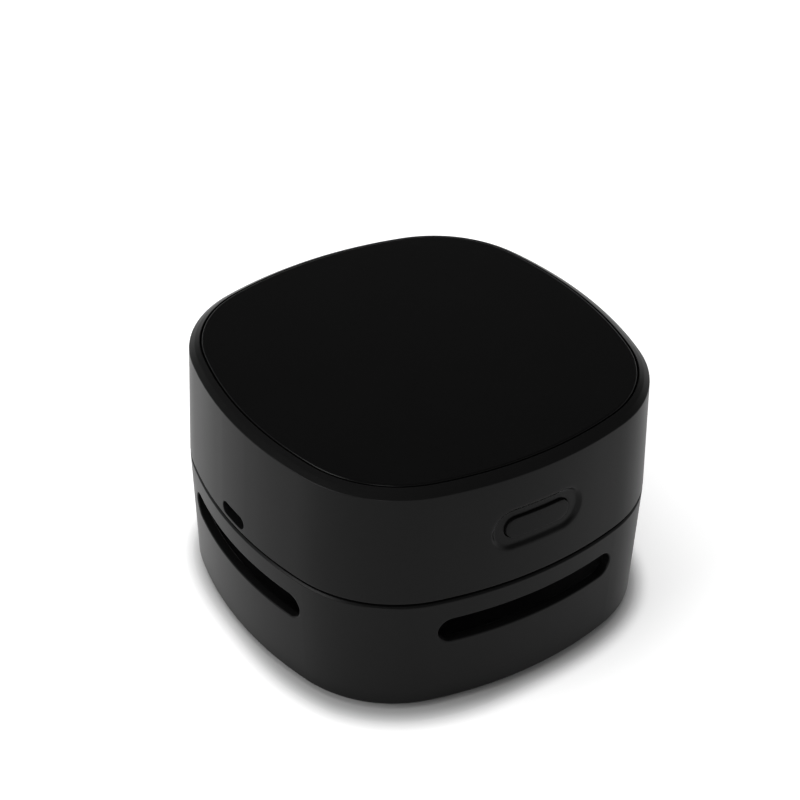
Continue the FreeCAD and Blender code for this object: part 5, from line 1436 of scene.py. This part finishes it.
class VACUUM_OT_bristles(bpy.types.Operator):
    """Four strips of nylon bristles round the inlet"""

    bl_idname = "vacuum.bristles"
    bl_label = "Bristles"

    def execute(self, context):
        vacuum = Vacuum(context.scene)
        finish = vacuum.finish_of("bristle")
        inside = vacuum.inside
        lowest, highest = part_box("brush_bristles")
        bottom, top = lowest.z, highest.z
        rows, count = inside.bristle_rows, inside.bristles_per_row
        graph = Repeat("Bristles", Rows="NodeSocketInt", Count="NodeSocketInt", Radius="NodeSocketFloat",
                       Seed="NodeSocketInt")
        per_row, row_count, radius = graph.given("Count"), graph.given("Rows"), graph.given("Radius")
        points = graph.node("GeometryNodePoints", {}, {"Count": per_row * row_count * len(SIDES)})
        index = graph.node("GeometryNodeInputIndex")
        strip = (index / (per_row * row_count)).floor()
        row = (index / per_row).floor() % row_count
        share = (index % per_row + 0.5 * (row % 2.0)) / per_row
        turn = strip * (math.pi / 2) + (share - 0.5) * inside.brush_angle
        reach = inside.brush_radius + row * (inside.brush_width / max(rows - 1, 1))
        moved = graph.node("GeometryNodeSetPosition", {}, {
            "Geometry": points, "Position": graph.place(reach * turn.cosine(), reach * turn.sine(), top)})
        lean = graph.node("FunctionNodeRandomValue", {"data_type": "FLOAT_VECTOR"},
                          {0: (-0.05, -0.05, -3.0), 1: (0.05, 0.05, 3.0), "Seed": graph.given("Seed")})
        length_of = graph.node("FunctionNodeRandomValue", {"data_type": "FLOAT"},
                               {2: 0.93, 3: 1.0, "Seed": graph.given("Seed")}, output=1)
        tall = top - bottom - CLEARANCE
        rod = graph.moved(graph.cone(radius * 0.55, radius, tall, 6, segments=2),
                          translation=(0.0, 0.0, -tall))
        stems = graph.instances(moved, rod, Rotation=lean, Scale=graph.place(1.0, 1.0, length_of))
        graph.done(stems, finish)
        piece = graph.run("bristle_strips", places_mesh("bristle_place", [(0, 0, 0)]), finish, Rows=rows,
                          Count=count, Radius=inside.bristle_radius, Seed=7)
        stand_for(piece, "dust_bowl", "brush_bristles")
        return {"FINISHED"}


class VACUUM_OT_mesh(bpy.types.Operator):
    """Woven filter mesh bonded to a flat ring"""

    bl_idname = "vacuum.mesh"
    bl_label = "Filter mesh"

    def execute(self, context):
        vacuum = Vacuum(context.scene)
        finish = vacuum.finish_of("filter_cloth")
        inside = vacuum.inside
        lowest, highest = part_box("filter_mesh")
        radius, middle = highest.x, (lowest.z + highest.z) / 2
        pitch = inside.mesh_pitch
        wires = 2 * int(radius / pitch) + 1
        reach = (wires - 1) / 2 * pitch
        graph = Repeat("Filter weave", Pitch="NodeSocketFloat", Wires="NodeSocketInt", Wire="NodeSocketFloat")
        layers = []
        for turn in (0, 1):
            line = graph.node("GeometryNodeCurvePrimitiveLine", {}, {
                "Start": (-reach, 0.0, 0.0), "End": (reach, 0.0, 0.0)})
            line = graph.node("GeometryNodeResampleCurve", {}, {"Curve": line, "Count": 2 * wires - 1})
            points = graph.node("GeometryNodeMeshLine", {}, {
                "Count": graph.given("Wires"), "Start Location": (0.0, -reach, 0.0),
                "Offset": graph.place(0.0, graph.given("Pitch"), 0.0)})
            rows = graph.node("GeometryNodeRealizeInstances", {}, {"Geometry": graph.instances(points, line)})
            x, y, _ = graph.split(graph.node("GeometryNodeInputPosition"))
            far = (x * x + y * y) > (radius - inside.weave_margin) ** 2
            rows = graph.node("GeometryNodeDeleteGeometry", {"domain": "POINT"},
                              {"Geometry": rows, "Selection": far})
            wave = ((x + y) * (math.pi / pitch)).cosine() * (inside.wire_wave * (1 - 2 * turn))
            rows = graph.node("GeometryNodeSetPosition", {},
                              {"Geometry": rows, "Offset": graph.place(0.0, 0.0, wave)})
            tubes = graph.tube(rows, graph.ring(graph.given("Wire"), 5), caps=True)
            layers.append(graph.moved(tubes, translation=(0.0, 0.0, middle),
                                      rotation=(0.0, 0.0, turn * math.pi / 2)))
        flat = graph.rectangle(inside.border_width, highest.z - lowest.z - CLEARANCE)
        border = graph.tube(graph.ring(radius - inside.border_inset, 128), flat)
        layers.append(graph.moved(border, translation=(0.0, 0.0, middle)))
        graph.done(graph.join(*layers), finish)
        piece = graph.run("filter_weave", places_mesh("mesh_place", [(0, 0, 0)]), finish, Pitch=pitch,
                          Wires=wires, Wire=inside.wire_radius)
        stand_for(piece, "filter", "filter_mesh")
        return {"FINISHED"}


class VACUUM_OT_screws(bpy.types.Operator):
    """Pan-head screws of the deck, guard, motor clamp and boards"""

    bl_idname = "vacuum.screws"
    bl_label = "Screws"

    axes = {"deck_screws": (0.0, 0.0, -1.0), "guard_screws": (0.0, 0.0, -1.0),
            "clamp_screws": (0.0, 0.0, 1.0), "power_board_screws": (0.0, 0.0, 1.0),
            "switch_screws": (0.0, 1.0, 0.0)}  # directions in which the heads look

    def execute(self, context):
        vacuum = Vacuum(context.scene)
        finish = vacuum.finish_of("screw_steel")
        radius, head = vacuum.inside.head_radius, vacuum.inside.head_height
        places, axes, reaches = [], [], []
        for node, axis in self.axes.items():
            found, reach = self.seats(node, axis, radius)
            places += found
            axes += [axis] * len(found)
            reaches += [reach - head] * len(found)
        head_mesh = self.head(radius, head)
        graph = Repeat("Screws", Head="NodeSocketObject", Shank="NodeSocketFloat")
        given = graph.given()
        axis = graph.node("GeometryNodeInputNamedAttribute", {"data_type": "FLOAT_VECTOR"}, {"Name": "axis"})
        reach = graph.node("GeometryNodeInputNamedAttribute", {"data_type": "FLOAT"}, {"Name": "reach"})
        turn = graph.node("FunctionNodeAlignRotationToVector", {"axis": "Z"}, {"Vector": axis})
        shape = graph.node("GeometryNodeObjectInfo", {}, {"Object": graph.given("Head")}, output="Geometry")
        heads = graph.instances(given, shape, Rotation=turn)
        rod = graph.moved(graph.cylinder(graph.given("Shank"), 1.0, 20), translation=(0.0, 0.0, -0.5))
        sunk = head * 0.4
        rods = graph.instances(given, rod, Rotation=turn,
                               Scale=graph.place(1.0, 1.0, reach + (head - sunk)))
        shift = graph.node("ShaderNodeVectorMath", {"operation": "SCALE"}, {0: axis, "Scale": -sunk})
        rods = graph.node("GeometryNodeTranslateInstances", {}, {
            "Instances": rods, "Translation": shift, "Local Space": False})
        graph.done(graph.join(heads, rods), finish)
        piece = graph.run("screw_set", places_mesh("screw_places", places, axis=axes, reach=reaches), finish,
                          Head=head_mesh, Shank=vacuum.inside.shank_radius)
        bpy.data.objects.remove(head_mesh)
        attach(piece, "motor_unit")
        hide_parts("deck_screws", "guard_screws", "clamp_screws", "power_board_screws",
                    "switch_screws")
        return {"FINISHED"}

    @staticmethod
    def seats(node, axis, radius):
        """Tops of a node's screw heads and the length of the screws, from the node's box."""
        lowest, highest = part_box(node)
        xs = [lowest.x + radius, highest.x - radius]
        if highest.x - lowest.x < 2 * radius + 1e-4:
            xs = [(lowest.x + highest.x) / 2]
        if axis[1]:
            ys, z = [highest.y], (lowest.z + highest.z) / 2
            reach = highest.y - lowest.y
        else:
            ys, z = [lowest.y + radius, highest.y - radius], (highest.z if axis[2] > 0 else lowest.z)
            reach = highest.z - lowest.z
        return [(x, y, z) for x in xs for y in ys], reach

    @staticmethod
    def head(radius, height):
        """Domed head with a cross recess; its top is at the origin."""
        skin = Skin()
        arm, thin, depth = radius * 0.62, radius * 0.17, height * 0.5
        crown, fall, taper = 0.72, height * 0.45, 0.75
        cross = []
        for i in range(4):
            turn = Matrix.Rotation(i * math.pi / 2, 2)
            cross += [turn @ Vector(p) for p in ((thin, -thin), (arm, -thin * 0.8), (arm, thin * 0.8))]
        top = -height * 0.02
        upper = skin.add([(p.x, p.y, top) for p in cross])
        lower = skin.add([(p.x * taper, p.y * taper, -depth) for p in cross])
        skin.strip(upper, lower)
        skin.fill([lower])
        rings = [skin.add(circle(radius * crown, top, 32))]
        skin.fill([rings[0], upper])
        bend = [(radius * (crown + (1 - crown) * math.sin(a)), top - fall * (1 - math.cos(a)))
                for a in quarter(4)[1:]]
        rings += [skin.add(circle(r, z, 32)) for r, z in bend + [(radius, -height)]]
        skin.strips(rings)
        skin.faces.append(tuple(rings[-1]))
        return linked("screw_head", skin.mesh("screw_head", merge=False))


# ---------------------------------------------------------------------------------------------------
# finishes
# ---------------------------------------------------------------------------------------------------

# Parts that keep the frame's own mesh, with their finishes.
KEPT_MESHES = {
    "motor_deck": "deck_plastic", "fan_guard": "deck_plastic", "seal_ring": "foot_rubber",
    "filter_frame": "filter_plastic", "brush_holders": "brush_plastic",
    "motor_can": "motor_steel", "motor_clamp": "motor_steel", "motor_bush": "bush_bronze",
    "motor_end_cap": "end_cap_nylon", "motor_terminals": "bush_bronze",
    "motor_magnets": "magnet_ferrite", "motor_armature": "core_steel",
    "motor_commutator": "commutator_copper", "motor_shaft": "shaft_steel",
    "cell_bridge": "contact_nickel", "terminal_spring": "contact_nickel",
    "terminal_plate": "contact_nickel", "cell_left": "cell_jacket", "cell_right": "cell_jacket",
    "switch_body": "switch_nylon", "switch_plunger": "switch_nylon",
    "switch_board": "board_laminate", "power_board": "board_laminate",
    "board_parts": "chip_epoxy", "power_socket": "socket_steel",
    "motor_lead_front": "lead_sleeve", "motor_lead_back": "lead_sleeve",
}


class VACUUM_OT_finishes(bpy.types.Operator):
    """Finishes of every part, and the ones that keep the frame's own mesh"""

    bl_idname = "vacuum.finishes"
    bl_label = "Finishes"

    def execute(self, context):
        vacuum = Vacuum(context.scene)
        colours = vacuum.colours
        parting = (vacuum.shells.bowl_top + vacuum.shells.shell_bottom) / 2
        moulded("shell_plastic", colours.shell, 0.29, specular=0.1, scuff=parting)
        moulded("cover_plastic", colours.cover, 0.22, grain=12000.0, depth=0.000002, specular=0.1)
        moulded("button_plastic", colours.shell, 0.29, specular=0.085)
        moulded("deck_plastic", colours.inner, 0.5, depth=0.000008, specular=0.4)
        moulded("impeller_plastic", colours.fan, 0.36, depth=0.000003, specular=0.5, mottle=0.02)
        moulded("filter_plastic", colours.inner, 0.45, depth=0.000006, specular=0.4)
        moulded("brush_plastic", colours.inner, 0.52, depth=0.000008, specular=0.4)
        moulded("end_cap_nylon", (0.55, 0.52, 0.42), 0.5, specular=0.45, mottle=0.05)
        moulded("switch_nylon", (0.015, 0.015, 0.016), 0.45, specular=0.45)
        moulded("chip_epoxy", (0.012, 0.012, 0.013), 0.5, grain=16000.0, specular=0.4)
        moulded("lead_sleeve", colours.lead, 0.4, specular=0.5, mottle=0.05)
        soft_rubber("foot_rubber", colours.rubber)
        fibre("bristle", colours.bristle)
        fibre("filter_cloth", colours.cloth, 0.5)
        worked_metal("motor_steel", colours.steel, 0.3)
        worked_metal("screw_steel", colours.steel, 0.26, along=(1.0, 1.0, 1.0), scale=5000.0)
        worked_metal("shaft_steel", colours.steel, 0.16, along=(1.0, 1.0, 12.0))
        worked_metal("contact_nickel", (0.66, 0.63, 0.56), 0.24, along=(0.05, 1.0, 1.0))
        worked_metal("socket_steel", colours.steel, 0.22, along=(0.05, 1.0, 1.0))
        worked_metal("bush_bronze", colours.bronze, 0.32, along=(1.0, 1.0, 8.0), tarnish=0.5)
        segmented_copper("commutator_copper", colours.bronze)
        worked_metal("magnet_ferrite", (0.06, 0.06, 0.065), 0.55, along=(1.0, 1.0, 1.0), scale=4000.0)
        stacked_steel("core_steel", colours.steel)
        lowest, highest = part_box("cell_left")
        axis, level = abs(lowest.x + highest.x) / 2, (lowest.z + highest.z) / 2
        bare = (highest.z - lowest.z) / 2 - vacuum.inside.cap_margin
        shrink_sleeve("cell_jacket", colours.sleeve, axis, level, bare)
        circuit_laminate("board_laminate", colours.laminate)
        for node, finish in KEPT_MESHES.items():
            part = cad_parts[node]
            part.data.materials.clear()
            part.data.materials.append(vacuum.finish_of(finish))
        return {"FINISHED"}


# ---------------------------------------------------------------------------------------------------
# stage
# ---------------------------------------------------------------------------------------------------

class VACUUM_OT_stage(bpy.types.Operator):
    """Pale floor, soft lamps, bright surroundings and the camera"""

    bl_idname = "vacuum.stage"
    bl_label = "Stage"

    floor_radii = (0.2, 0.6, 1.6, 3.4)
    squareness = 2.8  # power of the rounded square that the painted contact shadow follows
    contact = (0.0416, 0.0452)  # distances over which the painted contact shadow, a darker floor colour under the body's edge, fades out
    near = (0.0436, 0.048)  # distances over which the floor's camera-only glow sets in; it is left out nearer the body, so the floor stays darker there as painted shadow
    far = (0.25, 1.2)
    ambient = 0.36

    def execute(self, context):
        vacuum = Vacuum(context.scene)
        self.floor(vacuum)
        self.surroundings(context.scene)
        overhead = self.lamp("overhead_lamp", (-0.3, 0.5, 2.1), size=2.0, power=20.0)
        overhead.visible_glossy = False
        self.lamp("side_lamp", (-1.6, 0.2, 0.7), size=1.2, power=16.0)
        self.lamp("front_lamp", (-1.3, -1.4, 0.45), size=0.7, power=5.0)
        self.camera(context.scene, vacuum.view)
        context.scene.view_settings.view_transform = "Standard"
        return {"FINISHED"}

    def floor(self, vacuum):
        """Floor that a camera sees as white away from the body, with a painted contact shadow round the
        body's edge.
        """
        skin = Skin()
        rings = [skin.add(circle(radius, -CLEARANCE, 96)) for radius in self.floor_radii]
        skin.strips(rings)
        skin.faces.append(tuple(rings[0]))
        mesh = bpy.data.meshes.new("floor")
        mesh.from_pydata(skin.points, [], skin.faces)
        material, graph, shader = new_material("floor", Roughness=0.9, Specular_IOR_Level=0.0)
        rays = graph.rays()
        x, y, _ = graph.split(graph.position())
        # Distance from the body along a rounded square, made larger further to the left and right across the
        # view, so the painted contact shadow is narrower at the sides than at the near corner.
        across = abs(0.83 * x - 0.55 * y)
        away = (abs(x) ** self.squareness + abs(y) ** self.squareness) ** (1 / self.squareness)
        away = away + 0.06 * (across - 0.015).clamped()
        # Camera-only glow that whitens the floor. It fades out near the body, so the floor stays darker there
        # as painted shadow, and it grows further off. Glossy and transmission rays get a faint even glow.
        lift = ((0.44 * away.ramp(*self.near) + 0.5 * away.ramp(*self.far)) * rays["Is Camera Ray"]
                + 0.06 * (rays["Is Glossy Ray"] + rays["Is Transmission Ray"]))
        stage = vacuum.colours.stage
        # Painted contact shadow: the floor's colour drops to half under the body's edge.
        shade = graph.mix(away.ramp(*self.contact), tint(stage, 0.5), tint(stage))
        feed(graph, shader, Base_Color=shade)
        glow = graph.node("ShaderNodeEmission", {}, {"Color": tint((1.0, 1.0, 1.0)), "Strength": lift})
        both = graph.node("ShaderNodeAddShader", {}, {0: Value(graph, shader.outputs[0]), 1: glow})
        end = material.node_tree.nodes["Material Output"]
        graph.tree.links.new(both.socket, end.inputs["Surface"])
        mesh.materials.append(material)
        floor = linked("floor", mesh)

    def surroundings(self, scene):
        """White for what the camera and polished parts see, dim for the rest."""
        world = bpy.data.worlds.new("surroundings")
        world.use_nodes = True
        graph = Graph(world.node_tree)
        end = world.node_tree.nodes["Background"]
        rays = graph.rays()
        height = graph.split(graph.node("ShaderNodeTexCoord"))[2]
        mirrored = (rays["Is Glossy Ray"] + rays["Is Transmission Ray"]).clamped()
        overhead = 1 - 0.9 * height.ramp(0.1, 0.42)
        strength = (self.ambient + (1 - self.ambient) * rays["Is Camera Ray"]
                    + (overhead - self.ambient) * mirrored)
        graph.tree.links.new(strength.socket, end.inputs["Strength"])
        end.inputs["Color"].default_value = tint((1.0, 1.0, 1.0))
        scene.world = world

    @staticmethod
    def lamp(name, place, size, power, aim=(0.0, 0.0, 0.03)):
        """Round lamp that points at the body."""
        data = bpy.data.lights.new(name, "AREA")
        data.shape = "DISK"
        data.size = size
        data.energy = power
        lamp = linked(name, data)
        lamp.location = place
        lamp.rotation_euler = (Vector(aim) - Vector(place)).to_track_quat("-Z", "Y").to_euler()
        return lamp

    @staticmethod
    def camera(scene, view):
        """Camera at a distance from its target, turned, lifted and rolled."""
        data = bpy.data.cameras.new("camera")
        data.sensor_width = 36.0
        data.lens = view.lens
        data.clip_start, data.clip_end = 0.01, 20.0
        turn, lift, roll = view.turn, view.lift, view.roll
        back = Vector((math.sin(turn) * math.cos(lift), -math.cos(turn) * math.cos(lift), math.sin(lift)))
        level = Vector((math.cos(turn), math.sin(turn), 0.0))
        upright = back.cross(level)
        right = level * math.cos(roll) + upright * math.sin(roll)
        up = upright * math.cos(roll) - level * math.sin(roll)
        eye = Vector(view.target) + back * view.distance
        camera = linked("camera", data)
        camera.matrix_world = Matrix.Translation(eye) @ Matrix((right, up, back)).transposed().to_4x4()
        scene.camera = camera


# ---------------------------------------------------------------------------------------------------
# panel and main
# ---------------------------------------------------------------------------------------------------

GROUPS = {"vacuum_shells": VacuumShells, "vacuum_openings": VacuumOpenings,
          "vacuum_fittings": VacuumFittings, "vacuum_inside": VacuumInside,
          "vacuum_colours": VacuumColours, "vacuum_view": VacuumView}
STEPS = (VACUUM_OT_finishes, VACUUM_OT_bowl, VACUUM_OT_housing, VACUUM_OT_cover, VACUUM_OT_button,
         VACUUM_OT_feet, VACUUM_OT_fan, VACUUM_OT_bristles, VACUUM_OT_mesh, VACUUM_OT_screws,
         VACUUM_OT_stage)


class VACUUM_PT_panel(bpy.types.Panel):
    """Sizes, colours and building steps of the vacuum cleaner"""

    bl_idname = "VACUUM_PT_panel"
    bl_label = "Desktop Vacuum"
    bl_space_type = "VIEW_3D"
    bl_region_type = "UI"
    bl_category = "Vacuum"

    def draw(self, context):
        for step in STEPS:
            self.layout.operator(step.bl_idname)
        for group in GROUPS:
            box = self.layout.box()
            settings = getattr(context.scene, group)
            for name in settings.bl_rna.properties.keys():
                if name not in ("rna_type", "name"):
                    box.prop(settings, name)


CLASSES = (*GROUPS.values(), *STEPS, VACUUM_PT_panel)


def register():
    for item in CLASSES:
        bpy.utils.register_class(item)
    for name, group in GROUPS.items():
        setattr(bpy.types.Scene, name, PointerProperty(type=group))


def unregister():
    for name in GROUPS:
        delattr(bpy.types.Scene, name)
    for item in reversed(CLASSES):
        bpy.utils.unregister_class(item)


def main():
    """Build every piece in order."""
    register()
    for step in STEPS:
        group, name = step.bl_idname.split(".")
        getattr(getattr(bpy.ops, group), name)()
    bpy.context.view_layer.update()


if __name__ == "__main__":
    main()
